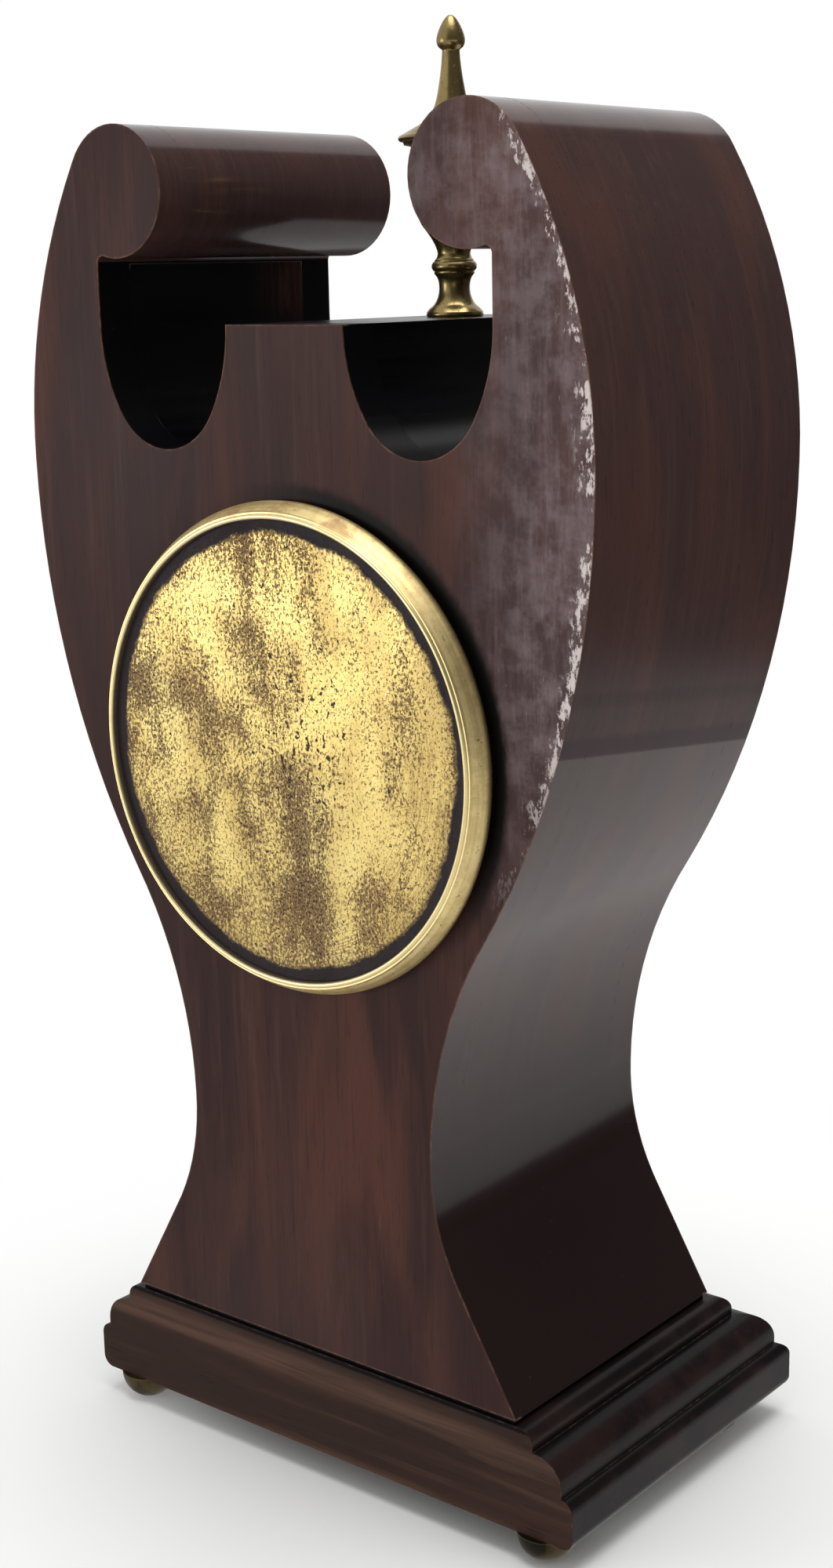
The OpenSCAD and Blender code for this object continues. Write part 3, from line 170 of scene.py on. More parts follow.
class Finish:
    """A material with one Principled shader, and short words for its nodes."""

    def __init__(self, name, world=None):
        self.material = world or bpy.data.materials.new(name)
        self.material.use_nodes = True
        self.tree = self.material.node_tree
        self.tree.nodes.clear()

    def node(self, kind, settings=None, inputs=None, out=0):
        made = self.tree.nodes.new(kind)
        for key, value in (settings or {}).items():
            setattr(made, key, value)
        for key, value in (inputs or {}).items():
            self.feed(made.inputs[key], value)
        return None if out is None else Val(self, made.outputs[out])

    def feed(self, socket, value):
        if isinstance(value, Val):
            self.tree.links.new(value.socket, socket)
        elif isinstance(value, tuple) and len(value) == 3 and socket.type == "RGBA":
            socket.default_value = (*value, 1.0)
        else:
            socket.default_value = value

    def place(self):
        """The point on the object, in millimetres."""
        at = self.node("ShaderNodeTexCoord", out="Object")
        return self.node("ShaderNodeVectorMath", {"operation": "SCALE"}, {0: at, "Scale": 1000.0})

    def stretch(self, at, x, y, z):
        return self.node("ShaderNodeVectorMath", {"operation": "MULTIPLY"}, {0: at, 1: (x, y, z)})

    def shift(self, at, x, y, z):
        return self.node("ShaderNodeVectorMath", {"operation": "ADD"}, {0: at, 1: (x, y, z)})

    def parts(self, at):
        return [self.node("ShaderNodeSeparateXYZ", None, {0: at}, out=i) for i in range(3)]

    def join(self, x, y, z):
        return self.node("ShaderNodeCombineXYZ", None, {0: x, 1: y, 2: z})

    def noise(self, at, scale, detail=3.0, rough=0.5, twist=0.0):
        """Soft noise; three scales stretch it along the axes."""
        if isinstance(scale, tuple):
            at, scale = self.stretch(at, *scale), 1.0
        return self.node("ShaderNodeTexNoise", None, {
            "Vector": at, "Scale": scale, "Detail": detail, "Roughness": rough,
            "Distortion": twist})

    def mix(self, share, first, second):
        """first where share is 0, second where it is 1."""
        return self.node("ShaderNodeMix", {"data_type": "RGBA"}, {0: share, 6: first, 7: second},
                         out=2)

    def blend(self, share, first, second):
        """Like mix, between two vectors."""
        return self.node("ShaderNodeMix", {"data_type": "VECTOR"}, {0: share, 4: first, 5: second},
                         out=1)

    def facing(self, axis):
        """How much the surface faces along an axis of the object."""
        normal = self.node("ShaderNodeTexCoord", out="Normal")
        return self.parts(normal)["xyz".index(axis)]

    def arris(self, radius, low=0.02, high=0.22):
        """1 at a sharp edge, and 0 away from it."""
        soft = self.node("ShaderNodeBevel", {"samples": 6}, {"Radius": radius})
        true = self.node("ShaderNodeNewGeometry", out="True Normal")
        along = self.node("ShaderNodeVectorMath", {"operation": "DOT_PRODUCT"}, {0: soft, 1: true},
                          out="Value")
        return (1.0 - along).rise(low, high)

    def softened(self, radius):
        return self.node("ShaderNodeBevel", {"samples": 6}, {"Radius": radius})

    def bump(self, height, strength, depth, normal=None):
        inputs = {"Height": height, "Strength": strength, "Distance": depth}
        if normal is not None:
            inputs["Normal"] = normal
        return self.node("ShaderNodeBump", None, inputs)

    def surface(self, **sockets):
        words = {"colour": "Base Color", "rough": "Roughness", "metal": "Metallic",
                 "normal": "Normal", "coat": "Coat Weight", "coat_rough": "Coat Roughness",
                 "gloss": "Specular IOR Level", "alpha": "Alpha"}
        shader = self.node("ShaderNodeBsdfPrincipled", None,
                           {words[k]: v for k, v in sockets.items()})
        self.show(shader)
        return self.material

    def shade(self, share, first, second):
        """Like mix, between two shaders."""
        return self.node("ShaderNodeMixShader", None, {0: share, 1: first, 2: second})

    def emit(self, level):
        """Light of one colour, whatever falls on it."""
        return self.node("ShaderNodeEmission", None, {"Color": level, "Strength": 1.0})

    def seen(self):
        """1 where the camera looks, straight or through glass."""
        return self.node("ShaderNodeLightPath", out="Is Camera Ray").most(
            self.node("ShaderNodeLightPath", out="Is Transmission Ray"))

    def mirrored(self):
        """1 where a glossy surface looks."""
        return self.node("ShaderNodeLightPath", out="Is Glossy Ray")

    def show(self, shader, output="ShaderNodeOutputMaterial"):
        self.node(output, None, {"Surface": shader}, out=None)


def begin(name):
    """A new finish, and the point on the object."""
    f = Finish(name)
    return f, f.place()


def grain(f, at, along, seed=0.0):
    """Mahogany along an axis: (slow figure, ribbons, fine pores), each from 0 to 1."""
    slow = {"z": (0.045, 0.045, 0.011), "x": (0.008, 0.06, 0.09), "y": (0.05, 0.012, 0.05)}[along]
    mid = {"z": (0.32, 0.32, 0.02), "x": (0.018, 0.35, 0.4), "y": (0.35, 0.02, 0.35)}[along]
    fine = {"z": (2.4, 2.4, 0.16), "x": (0.14, 2.4, 2.6), "y": (2.4, 0.16, 2.4)}[along]
    moved = f.shift(at, seed, seed * 0.7, seed * 1.3)
    figure = f.noise(moved, slow, 3.0, 0.55, 0.8)
    ribbon = f.noise(moved, mid, 3.0, 0.55, 0.3)
    pores = f.noise(moved, fine, 3.0, 0.6)
    return figure, ribbon, pores


def wood_tone(f, figure, ribbon, pores, dark, red, pale):
    """The colour of polished mahogany from its grain."""
    tone = f.mix(figure.rise(0.38, 0.72), dark, red)
    tone = f.mix(ribbon.rise(0.5, 0.85) * 0.55, tone, pale)
    tone = f.mix(pores.rise(0.56, 0.74) * 0.5, tone, tuple(c * 0.3 for c in dark))
    return tone


def from_middle(x, z):
    """Across, up and out from the middle of the bore."""
    across, up = x - DIAL_X, z - DIAL_Z
    return across, up, (across * across + up * up).power(0.5)


def worn_side(x, z):
    """How near a point is to the outline's rubbed side, in millimetres from the edge."""
    up = z - BULGE_Z
    lower_x = -x - (BULGE_HALF - LOWER_R)
    upper_x = -x - (BULGE_HALF - UPPER_R)
    lower = LOWER_R - (lower_x * lower_x + up * up).power(0.5)
    upper = UPPER_R - (upper_x * upper_x + up * up).power(0.5)
    high = up.above(0.0)
    return lower * (1.0 - high) + upper * high


def polish_case(name, back_tones, rubbed, seed):
    """Mahogany for a panel: dull grain on its face, veneer and ebony on its edges; a rubbed one
    also gets wear and a painted shadow beside the cap.
    """
    f, at = begin(name)
    x, y, z = f.parts(at)
    dark, red, pale = back_tones
    figure, ribbon, pores = grain(f, at, "z", seed)
    face = wood_tone(f, figure, ribbon, pores, dark, red, pale)
    hairs = f.noise(at, (1.1, 1.1, 0.035), 4.0, 0.65)
    face = f.mix(hairs.rise(0.52, 0.7) * 0.4, face, (0.016, 0.008, 0.008))
    grey = f.noise(at, (0.02, 0.02, 0.014), 2.0, 0.5).rise(0.42, 0.7)
    face = f.mix(grey * 0.3, face, (0.05, 0.03, 0.029))
    scuffs = f.noise(at, (0.7, 0.7, 0.06), 4.0, 0.7).rise(0.64, 0.76)
    face = f.mix(scuffs * 0.14, face, (0.2, 0.15, 0.14))
    rough = 0.4 + figure * 0.12 + scuffs * 0.18
    if rubbed:
        near = worn_side(x, z)
        zone = z.rise(128.0, 178.0) * (1.0 - z.rise(272.0, 284.0)) * x.below(0.0)
        band = (1.0 - near.rise(2.0, 36.0)) * zone
        streaks = f.noise(at, (0.6, 0.6, 0.07), 5.0, 0.7).rise(0.42, 0.7)
        mottle = f.noise(at, 0.16, 4.0, 0.65).rise(0.36, 0.66)
        head = z.rise(248.0, 268.0) * x.below(0.0) * 0.6
        haze = band.most(head) * (0.16 + streaks * 0.36 + mottle * 0.62)
        face = f.mix(haze * 0.9, face, (0.2, 0.145, 0.15))
        crumbs = f.noise(at, (0.8, 0.8, 0.36), 6.0, 0.8)
        gaps = f.noise(at, 0.07, 3.0, 0.6).rise(0.42, 0.6) * 0.1
        rims = (1.0 - near.rise(0.6, 4.2)) * 0.1
        chain = (crumbs + rims + gaps).rise(0.66, 0.71) * (1.0 - near.rise(1.4, 5.4)) * zone
        face = f.mix(chain * 0.9, face, (0.74, 0.65, 0.63))
        ticks = f.noise(at, (1.3, 1.3, 0.16), 3.0, 0.6).rise(0.7, 0.74)
        face = f.mix(ticks * band * 0.7, face, (0.5, 0.42, 0.38))
        across, up, out = from_middle(x, z)
        # Painted shadow: a near-black band round the cap on its upper right, where the cap would
        # cast its shadow on the panel.
        shade = ((up * 0.5 - across * 0.87) / CAP_R).rise(0.2, 0.75)
        painted_cap_shadow = (1.0 - (out + crumbs * 2.0).rise(CAP_R + 2.6, CAP_R + 5.0)) * shade
        face = f.mix(painted_cap_shadow, face, (0.0015, 0.001, 0.001))
    edge, edge_rough, edge_coat, edge_height = veneer(f, at)
    flat = abs(f.facing("y")).rise(0.6, 0.8)
    tone = f.mix(flat, edge, face)
    outer = abs(y - MIDDLE_Y).rise(HALF_DEPTH - 2.2, HALF_DEPTH - 1.4)
    arris = f.arris(0.0008) * outer
    crumble = f.noise(at, (0.5, 0.5, 0.2), 5.0, 0.7).rise(0.44, 0.6)
    tone = f.mix(arris * (0.25 + crumble * 0.6), tone, (0.27, 0.13, 0.075))
    rough = rough * flat + (1.0 - flat) * edge_rough
    plain = f.node("ShaderNodeNewGeometry", out="Normal")
    round_edge = f.blend(outer, plain, f.softened(0.0004))
    height = (pores * 0.5 + hairs * 0.5) * flat * 0.3 + edge_height * (1.0 - flat)
    normal = f.bump(height, 0.15, 0.0006, round_edge)
    return f.surface(colour=tone, rough=rough, normal=normal, coat=edge_coat * (1.0 - flat),
                     coat_rough=0.1, gloss=0.1)


def veneer(f, at):
    """Dark veneer bent round the sides and the scrolls: colour, roughness, coat and relief."""
    x, y, z = f.parts(at)
    figure, ribbon, pores = grain(f, at, "z", 7.0)
    tone = wood_tone(f, figure, ribbon, pores, *VENEER_TONES)
    streaks = f.noise(at, (0.05, 0.9, 0.012), 4.0, 0.65).rise(0.5, 0.72)
    tone = f.mix(streaks * 0.2, tone, (0.115, 0.05, 0.038))
    height = z - BASE
    step = height + (MIDDLE_Y - y) * JOINT_SLOPE
    lower = 1.0 - step.rise(VENEER_JOINT - 0.3, VENEER_JOINT + 0.3)
    top = height.rise(214.0, 232.0)
    # Painted shade: the veneer darkens to near black from 118 mm down to 62 mm, towards the foot.
    tone = f.mix(1.0 - z.rise(62.0, 118.0), tone, (0.014, 0.006, 0.006))
    wander = ribbon * 0.9
    joint = (step + wander).near(VENEER_JOINT + 2.4, 1.0, 2.8).most(
        (step - wander).near(VENEER_JOINT + 10.6, 0.4, 2.2) * 0.5)
    tone = f.mix(joint * 0.7, tone, (0.024, 0.007, 0.009))
    inside = x.near(0.0, 49.9, 50.4) * height.below(223.4) * height.above(183.0)
    tone = f.mix(inside, tone, (0.0022, 0.0022, 0.003))
    specks = f.noise(at, 0.8, 4.0, 0.7).rise(0.68, 0.74)
    tone = f.mix(specks * 0.3, tone, (0.12, 0.08, 0.07))
    rough = 0.3 - (lower + top).held() * 0.14 + ribbon * 0.08 + specks * 0.2
    coat = (0.12 + lower * 0.33 + top * 0.4) * (1.0 - inside)
    waves = f.noise(at, (0.02, 0.05, 0.03), 2.0, 0.5)
    return tone, rough, coat, waves * 3.0 + pores * 0.1


def polish_veneer(name):
    """The veneer of the side boards and the scrolls."""
    f = Finish(name)
    tone, rough, coat, height = veneer(f, f.place())
    return f.surface(colour=tone, rough=rough, normal=f.bump(height, 0.15, 0.0006), coat=coat,
                     coat_rough=0.1, gloss=0.1)


def ebonise(name):
    """Blacked, polished boards inside the arches and under the body."""
    f, at = begin(name)
    x, y, z = f.parts(at)
    _, ribbon, pores = grain(f, at, "y", 3.0)
    tone = f.mix(ribbon.rise(0.4, 0.7), (0.0014, 0.0014, 0.002), (0.003, 0.0028, 0.004))
    bare = (z - BASE).rise(205.0, 219.0) * (1.0 - y.rise(-24.0, -2.0)) * abs(x).above(40.0)
    streaks = f.noise(at, (0.6, 0.6, 0.08), 4.0, 0.6).rise(0.35, 0.7)
    tone = f.mix(bare * (0.35 + streaks * 0.65), tone, (0.06, 0.018, 0.011))
    scuffs = f.noise(at, (0.4, 0.06, 0.4), 4.0, 0.7).rise(0.66, 0.76)
    tone = f.mix(scuffs * 0.12, tone, (0.04, 0.04, 0.045))
    # Painted highlight: a pale grey line along the pedestal's top edge, where its rounded arris
    # catches the light.
    edge = f.arris(0.0006) * z.rise(PEDESTAL_Z - 0.5, PEDESTAL_Z + 0.5)
    tone = f.mix(edge * 0.7, tone, (0.22, 0.2, 0.2))
    rough = 0.2 + ribbon * 0.12 + scuffs * 0.15
    normal = f.bump(pores, 0.08, 0.0001, f.softened(0.0003))
    return f.surface(colour=tone, rough=rough, normal=normal, gloss=0.12)


def polish_plinth(name):
    """The plinth: bare-looking back board with level grain, near-black polished mouldings."""
    f, at = begin(name)
    z = f.parts(at)[2]
    figure, ribbon, pores = grain(f, at, "x", 11.0)
    back = wood_tone(f, figure, ribbon, pores, (0.03, 0.016, 0.012), (0.07, 0.03, 0.02),
                     (0.13, 0.07, 0.048))
    face = f.facing("y").rise(0.6, 0.85)
    mould_figure, mould_ribbon, mould_pores = grain(f, at, "x", 31.0)
    mould = wood_tone(f, mould_figure, mould_ribbon, mould_pores, (0.008, 0.0055, 0.006),
                      (0.022, 0.011, 0.01), (0.03, 0.016, 0.014))
    low, top = (1000 * corner.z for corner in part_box("plinth"))
    # Painted shade: the two hollows of the mouldings are darker.
    painted_hollow_shade = z.near(low + 10.9, 0.2, 1.6).most(z.near(top - 4.2, 0.2, 1.3))
    mould = f.mix(painted_hollow_shade * 0.85, mould, (0.004, 0.004, 0.0045))
    tone = f.mix(face, mould, back)
    streak = face * z.near(top - 5.0, 0.5, 4.5) * ribbon.rise(0.3, 0.6)
    tone = f.mix(streak * 0.45, tone, (0.15, 0.085, 0.06))
    # The joint under the body, with painted shade in its gap: a near-black band on the face's top
    # millimetre.
    lip = face * z.rise(top - 1.3, top - 0.7)
    tone = f.mix(lip, tone, (0.0015, 0.001, 0.001))
    arris = f.arris(0.0005)
    crumble = f.noise(at, 0.7, 4.0, 0.7).rise(0.48, 0.62)
    tone = f.mix(arris * (0.12 + crumble * 0.5), tone, (0.22, 0.12, 0.08))
    rough = face * (0.5 + ribbon * 0.15) + (1.0 - face) * (0.28 + mould_ribbon * 0.12)
    normal = f.bump(pores * 0.7 + ribbon * 0.3, 0.16, 0.0002, f.softened(0.0004))
    return f.surface(colour=tone, rough=rough, normal=normal, coat=0.1 * (1.0 - face),
                     coat_rough=0.16, gloss=0.08)


def raw_wood(name):
    """Sawn softwood of the glue blocks."""
    f, at = begin(name)
    figure, ribbon, pores = grain(f, at, "x", 5.0)
    tone = wood_tone(f, figure, ribbon, pores, (0.2, 0.1, 0.05), (0.32, 0.18, 0.09),
                     (0.4, 0.25, 0.14))
    return f.surface(colour=tone, rough=0.75, normal=f.bump(pores, 0.4, 0.0003))


def tarnish(name, bright, dull, share, rough, seed, polish_edges=0.5):
    """Old brass: bright where it is rubbed, brown in patches, with small spots."""
    f = Finish(name)
    at = f.shift(f.place(), seed, -seed, seed * 0.5)
    cloud = f.noise(at, 0.09, 4.0, 0.6).rise(0.38, 0.68)
    fine = f.noise(at, 0.7, 5.0, 0.65)
    spots = f.noise(at, 1.3, 3.0, 0.6).rise(0.62, 0.7)
    tone = f.mix((cloud * share + fine.rise(0.5, 0.75) * 0.3).held(), bright, dull)
    tone = f.mix(spots * 0.5, tone, (0.05, 0.03, 0.02))
    arris = f.arris(0.0006, 0.03, 0.3)
    tone = f.mix(arris * polish_edges, tone, (0.78, 0.62, 0.3))
    roughness = rough + cloud * 0.16 + spots * 0.2 - arris * 0.08
    normal = f.bump(fine + spots * -0.6, 0.12, 0.0002)
    return f.surface(colour=tone, rough=roughness, metal=0.9 - spots * 0.5, normal=normal)


def cap_brass(name):
    """The back cap's spun disc: clustered pits, clouds, polishing rings, scratches, dark rim."""
    f, at = begin(name)
    x, _, z = f.parts(at)
    across, up, radius = from_middle(x, z)
    flat = f.join(across, 0.0, up)
    cloud = f.noise(flat, (0.07, 0.0, 0.05), 4.0, 0.6).rise(0.38, 0.64)
    tone = f.mix(cloud * 0.7, (0.74, 0.57, 0.2), (0.54, 0.38, 0.13))
    pale = f.noise(flat, (0.05, 0.0, 0.04), 3.0, 0.5).rise(0.5, 0.7)
    tone = f.mix(pale * 0.5, tone, (0.84, 0.7, 0.28))
    column = (across - up * 0.1).near(2.0, 2.0, 19.0) * 0.7
    left = across.rise(2.0, 34.0)
    low = (0.0 - up).rise(4.0, 36.0)
    islands = f.noise(flat, (0.085, 0.0, 0.055), 4.0, 0.6).rise(0.4, 0.66)
    crowd = (islands * 0.6 + column * 0.5 + left * 0.35 + low * 0.25 - 0.2).held()
    ragged = f.noise(flat, (1.5, 0.0, 1.1), 6.0, 0.75)
    brown = (ragged + crowd * 0.17).rise(0.555, 0.59)
    tone = f.mix(brown * 0.8, tone, (0.17, 0.08, 0.035))
    grains = f.noise(flat, (2.6, 0.0, 1.9), 4.0, 0.6)
    pits = (grains + crowd * 0.11).rise(0.606, 0.622)
    blots = f.noise(flat, (0.75, 0.0, 0.65), 3.0, 0.5)
    ring = (across + 7.0) * (across + 7.0) / 220.0 + (up - 3.0) * (up - 3.0) / 420.0
    blots = (blots + (1.0 - ring.held()) * 0.08 + column * 0.02).rise(0.67, 0.69)
    dark = (pits + blots).held()
    tone = f.mix(dark * 0.95, tone, (0.035, 0.014, 0.01))
    turn = up.angle(across)
    rings = f.noise(f.join(radius * 2.6, turn * 1.4, 0.0), 1.0, 4.0, 0.7)
    lower_right = (0.0 - across - up * 0.9).rise(8.0, 48.0) * radius.rise(22.0, 38.0)
    rings = rings.rise(0.48, 0.62) * lower_right
    tone = f.mix(rings * 0.6, tone, (0.24, 0.13, 0.06))
    nicks = f.noise(f.join(turn * 11.0, radius * 0.5, 2.0), 1.0, 5.0, 0.8)
    bite = f.noise(f.join(across * 0.05, up * 0.05, 5.0), 1.0, 2.0, 0.5)
    smudge = (radius + bite * 9.0).rise(DISC_R - 3.0, DISC_R + 3.0) * ragged.rise(0.4, 0.56)
    tone = f.mix(smudge * 0.7, tone, (0.13, 0.065, 0.035))
    grime = (radius + nicks * 3.0 + bite * 3.0).rise(DISC_R - 0.1, DISC_R + 0.8)
    tone = f.mix(grime, tone, (0.022, 0.013, 0.015))
    scratch = f.noise(f.join(across * 1.6 + up * 0.9, 0.0, up * 0.05), 1.0, 2.0, 0.5)
    cross = f.noise(f.join(across * 0.9 - up * 1.5, 0.0, across * 0.06), 1.0, 2.0, 0.5)
    lines = (scratch.rise(0.7, 0.73) + cross.rise(0.71, 0.74) * low).held()
    tone = f.mix(lines * 0.7, tone, (0.12, 0.065, 0.035))
    rough = 0.36 + cloud * 0.08 + dark * 0.3 + grime * 0.3 + brown * 0.2
    height = 0.0 - dark * 0.7 - brown * 0.3 - rings * 0.2 - lines * 0.6 + ragged * 0.4
    normal = f.bump(height, 0.35, 0.0002)
    metal = 0.85 - dark * 0.6 - grime * 0.6 - brown * 0.35
    return f.surface(colour=tone, rough=rough, metal=metal, normal=normal)


def cap_rim_brass(name):
    """The cap's turned ring: rubbed lip, satin flank with brown patches at the top left."""
    f, at = begin(name)
    x, y, z = f.parts(at)
    across, up, radius = from_middle(x, z)
    turn = up.angle(across)
    turned = f.noise(f.join(radius * 1.4, y * 1.4, turn * 1.1), 1.0, 4.0, 0.65)
    tone = f.mix(turned.rise(0.4, 0.65), (0.78, 0.6, 0.27), (0.92, 0.74, 0.36))
    mottle = f.noise(at, 0.35, 5.0, 0.7).rise(0.42, 0.62)
    tone = f.mix(mottle * 0.35, tone, (0.5, 0.34, 0.13))
    patch = f.noise(at, 0.12, 4.0, 0.65).rise(0.5, 0.66) * (up + across * 0.6).rise(0.0, 45.0)
    tone = f.mix(patch * 0.6, tone, (0.3, 0.14, 0.07))
    spots = f.noise(at, 1.1, 3.0, 0.6).rise(0.66, 0.7)
    tone = f.mix(spots * 0.6, tone, (0.09, 0.05, 0.03))
    lip = y.rise(CAP_Y + 5.0, CAP_Y + 5.6)
    tone = f.mix(lip * 0.7, tone, (0.95, 0.8, 0.42))
    well = (1.0 - radius.rise(DISC_R, DISC_R + 0.4)) * y.rise(CAP_Y + 3.6, CAP_Y + 4.2)
    tone = f.mix(well, tone, (0.035, 0.022, 0.02))
    foot = 1.0 - y.rise(CAP_Y + 1.2, CAP_Y + 2.2)
    tone = f.mix(foot * 0.5, tone, (0.14, 0.09, 0.05))
    rough = 0.4 + turned * 0.12 - lip * 0.16 + patch * 0.12
    normal = f.bump(turned * 0.4 - spots * 0.5, 0.1, 0.0002)
    return f.surface(colour=tone, rough=rough, metal=0.9 - well * 0.7, normal=normal)


def movement_metal(name, colour, streak, rough, along):
    """Bright metal of the movement with fine brush lines."""
    f, at = begin(name)
    lines = f.noise(at, along, 3.0, 0.6)
    cloud = f.noise(at, 0.15, 3.0, 0.5)
    tone = f.mix((lines * 0.6 + cloud * 0.4).rise(0.35, 0.65), colour, streak)
    normal = f.bump(lines, 0.06, 0.0001, f.softened(0.0001))
    return f.surface(colour=tone, rough=rough + lines * 0.12, metal=1.0, normal=normal)


def blue_steel(name):
    """Steel blued by heat, deeper in places."""
    f, at = begin(name)
    cloud = f.noise(at, 0.25, 3.0, 0.5)
    tone = f.mix(cloud.rise(0.35, 0.65), (0.02, 0.035, 0.16), (0.05, 0.03, 0.12))
    normal = f.bump(f.noise(at, 3.0, 2.0), 0.03, 0.0001)
    return f.surface(colour=tone, rough=0.22 + cloud * 0.1, metal=0.95, normal=normal)


def enamel(name):
    """Fired white enamel: warm, faintly uneven, very glossy."""
    f, at = begin(name)
    cloud = f.noise(at, 0.06, 3.0, 0.5)
    dust = f.noise(at, 1.8, 3.0, 0.6).rise(0.7, 0.75)
    tone = f.mix(cloud.rise(0.3, 0.7), (0.86, 0.84, 0.77), (0.81, 0.78, 0.7))
    tone = f.mix(dust * 0.4, tone, (0.45, 0.4, 0.33))
    normal = f.bump(cloud, 0.1, 0.0006)
    return f.surface(colour=tone, rough=0.12 + cloud * 0.06, normal=normal, coat=0.6,
                     coat_rough=0.05)


def black_print(name):
    """Black vitreous paint of the dial's figures."""
    f, at = begin(name)
    cloud = f.noise(at, 1.5, 4.0, 0.6)
    tone = f.mix(cloud.rise(0.55, 0.8), (0.008, 0.008, 0.01), (0.03, 0.028, 0.028))
    return f.surface(colour=tone, rough=0.25 + cloud * 0.1, normal=f.bump(cloud, 0.05, 0.0001))


def clear_glass(name):
    """Thin convex glass with a little dust near its rim."""
    f, at = begin(name)
    x, _, z = f.parts(at)
    radius = from_middle(x, z)[2]
    dust = f.noise(at, 0.6, 4.0, 0.7).rise(0.45, 0.75) * radius.rise(30.0, 42.0)
    alpha = 0.1 + dust * 0.1
    return f.surface(colour=(0.93, 0.96, 0.96), rough=0.03 + dust * 0.15, alpha=alpha, gloss=0.6,
                     coat=1.0, coat_rough=0.02)


def boxwood(name):
    """Pale boxwood stringing, yellowed under the polish."""
    f, at = begin(name)
    ticks = f.noise(at, (0.5, 0.5, 0.5), 4.0, 0.6)
    tone = f.mix(ticks.rise(0.35, 0.7), (0.52, 0.34, 0.13), (0.4, 0.22, 0.08))
    return f.surface(colour=tone, rough=0.25 + ticks * 0.1, normal=f.bump(ticks, 0.05, 0.0001),
                     coat=0.5, coat_rough=0.1)


def shaded_satinwood(name):
    """Satinwood petals, scorched dark towards one side."""
    f, at = begin(name)
    x, _, z = f.parts(at)
    ticks = f.noise(at, (0.9, 0.9, 0.2), 4.0, 0.6)
    shade = (x.angle(z - FAN_Z) * (PETALS / tau)).fraction()
    tone = f.mix(ticks.rise(0.35, 0.7), (0.5, 0.31, 0.11), (0.38, 0.2, 0.07))
    tone = f.mix(shade.power(2.0) * 0.85, tone, (0.06, 0.025, 0.01))
    return f.surface(colour=tone, rough=0.26, normal=f.bump(ticks, 0.06, 0.0001), coat=0.5,
                     coat_rough=0.1)


def ruby(name):
    """Small red bearing jewels."""
    f, at = begin(name)
    cloud = f.noise(at, 1.0, 2.0)
    tone = f.mix(cloud, (0.5, 0.01, 0.03), (0.35, 0.005, 0.02))
    return f.surface(colour=tone, rough=0.1, coat=1.0, coat_rough=0.03,
                     normal=f.bump(cloud, 0.02, 0.0001))


def add(name, data):
    """A new object in the scene."""
    made = bpy.data.objects.new(name, data)
    bpy.context.scene.collection.objects.link(made)
    return made


def add_mesh(bm, name, material):
    """Makes a bmesh an object with one material."""
    mesh = bpy.data.meshes.new(name)
    bm.to_mesh(mesh)
    bm.free()
    mesh.materials.append(material)
    return add(name, mesh)


def finish_piece(bm, name, material, body, replaces=(), sharp=35.0):
    """Makes a bmesh an object that rides on a body."""
    bmesh.ops.remove_doubles(bm, verts=bm.verts, dist=2e-6)
    bmesh.ops.recalc_face_normals(bm, faces=bm.faces)
    for face in bm.faces:
        face.smooth = True
    for edge in bm.edges:
        edge.smooth = len(edge.link_faces) == 2 and edge.calc_face_angle(pi) < radians(sharp)
    piece = add_mesh(bm, name, material)
    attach(piece, body)
    if replaces:
        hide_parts(*replaces)
    return piece


def turn_profile(bm, points, centre, axis, steps=96):
    """Spins (radius, height) points in millimetres round an axis through centre."""
    arm = Vector((1.0, 0.0, 0.0))
    ring = []
    for radius, height in points:
        ring.append(bm.verts.new(centre + arm * radius * MM + Vector(axis) * height * MM))
    edges = [bm.edges.new(pair) for pair in zip(ring, ring[1:] + ring[:1])
             if (pair[0].co - pair[1].co).length > 1e-7]
    axis_edges = [e for e in edges if all((v.co - centre).cross(Vector(axis)).length < 1e-7
                                          for v in e.verts)]
    edges = [e for e in edges if e not in axis_edges]
    bmesh.ops.spin(bm, geom=ring + edges, cent=centre, axis=axis, angle=tau, steps=steps,
                   use_merge=True)
    bmesh.ops.delete(bm, geom=[e for e in axis_edges if e.is_valid], context="EDGES_FACES")


def bow(cx, cy, r, start, end, n):
    """Points of an arc."""
    return [(cx + r * cos(radians(start + (end - start) * i / n)),
             cy + r * sin(radians(start + (end - start) * i / n))) for i in range(n + 1)]


def smooth_line(points, rounds=2):
    """Cuts the corners of a profile, so that it turns softly; its ends stay."""
    for _ in range(rounds):
        line = [points[0]]
        for a, b in zip(points, points[1:]):
            line.append((a[0] * 0.75 + b[0] * 0.25, a[1] * 0.75 + b[1] * 0.25))
            line.append((a[0] * 0.25 + b[0] * 0.75, a[1] * 0.25 + b[1] * 0.75))
        line.append(points[-1])
        points = line
    return points


def flat_piece(bm, corners, y, thick):
    """A flat plate on the front: corners as (x, z) in millimetres, its face at y in metres."""
    verts = [bm.verts.new(Vector((x * MM, y, z * MM))) for x, z in corners]
    face = bm.faces.new(verts)
    made = bmesh.ops.extrude_face_region(bm, geom=[face])
    moved = [v for v in made["geom"] if isinstance(v, bmesh.types.BMVert)]
    bmesh.ops.translate(bm, verts=moved, vec=Vector((0, thick, 0)))


def paint(material, *nodes):
    """Gives CAD nodes their finish."""
    for node in nodes:
        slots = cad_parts[node].data.materials
        slots.clear()
        slots.append(material)


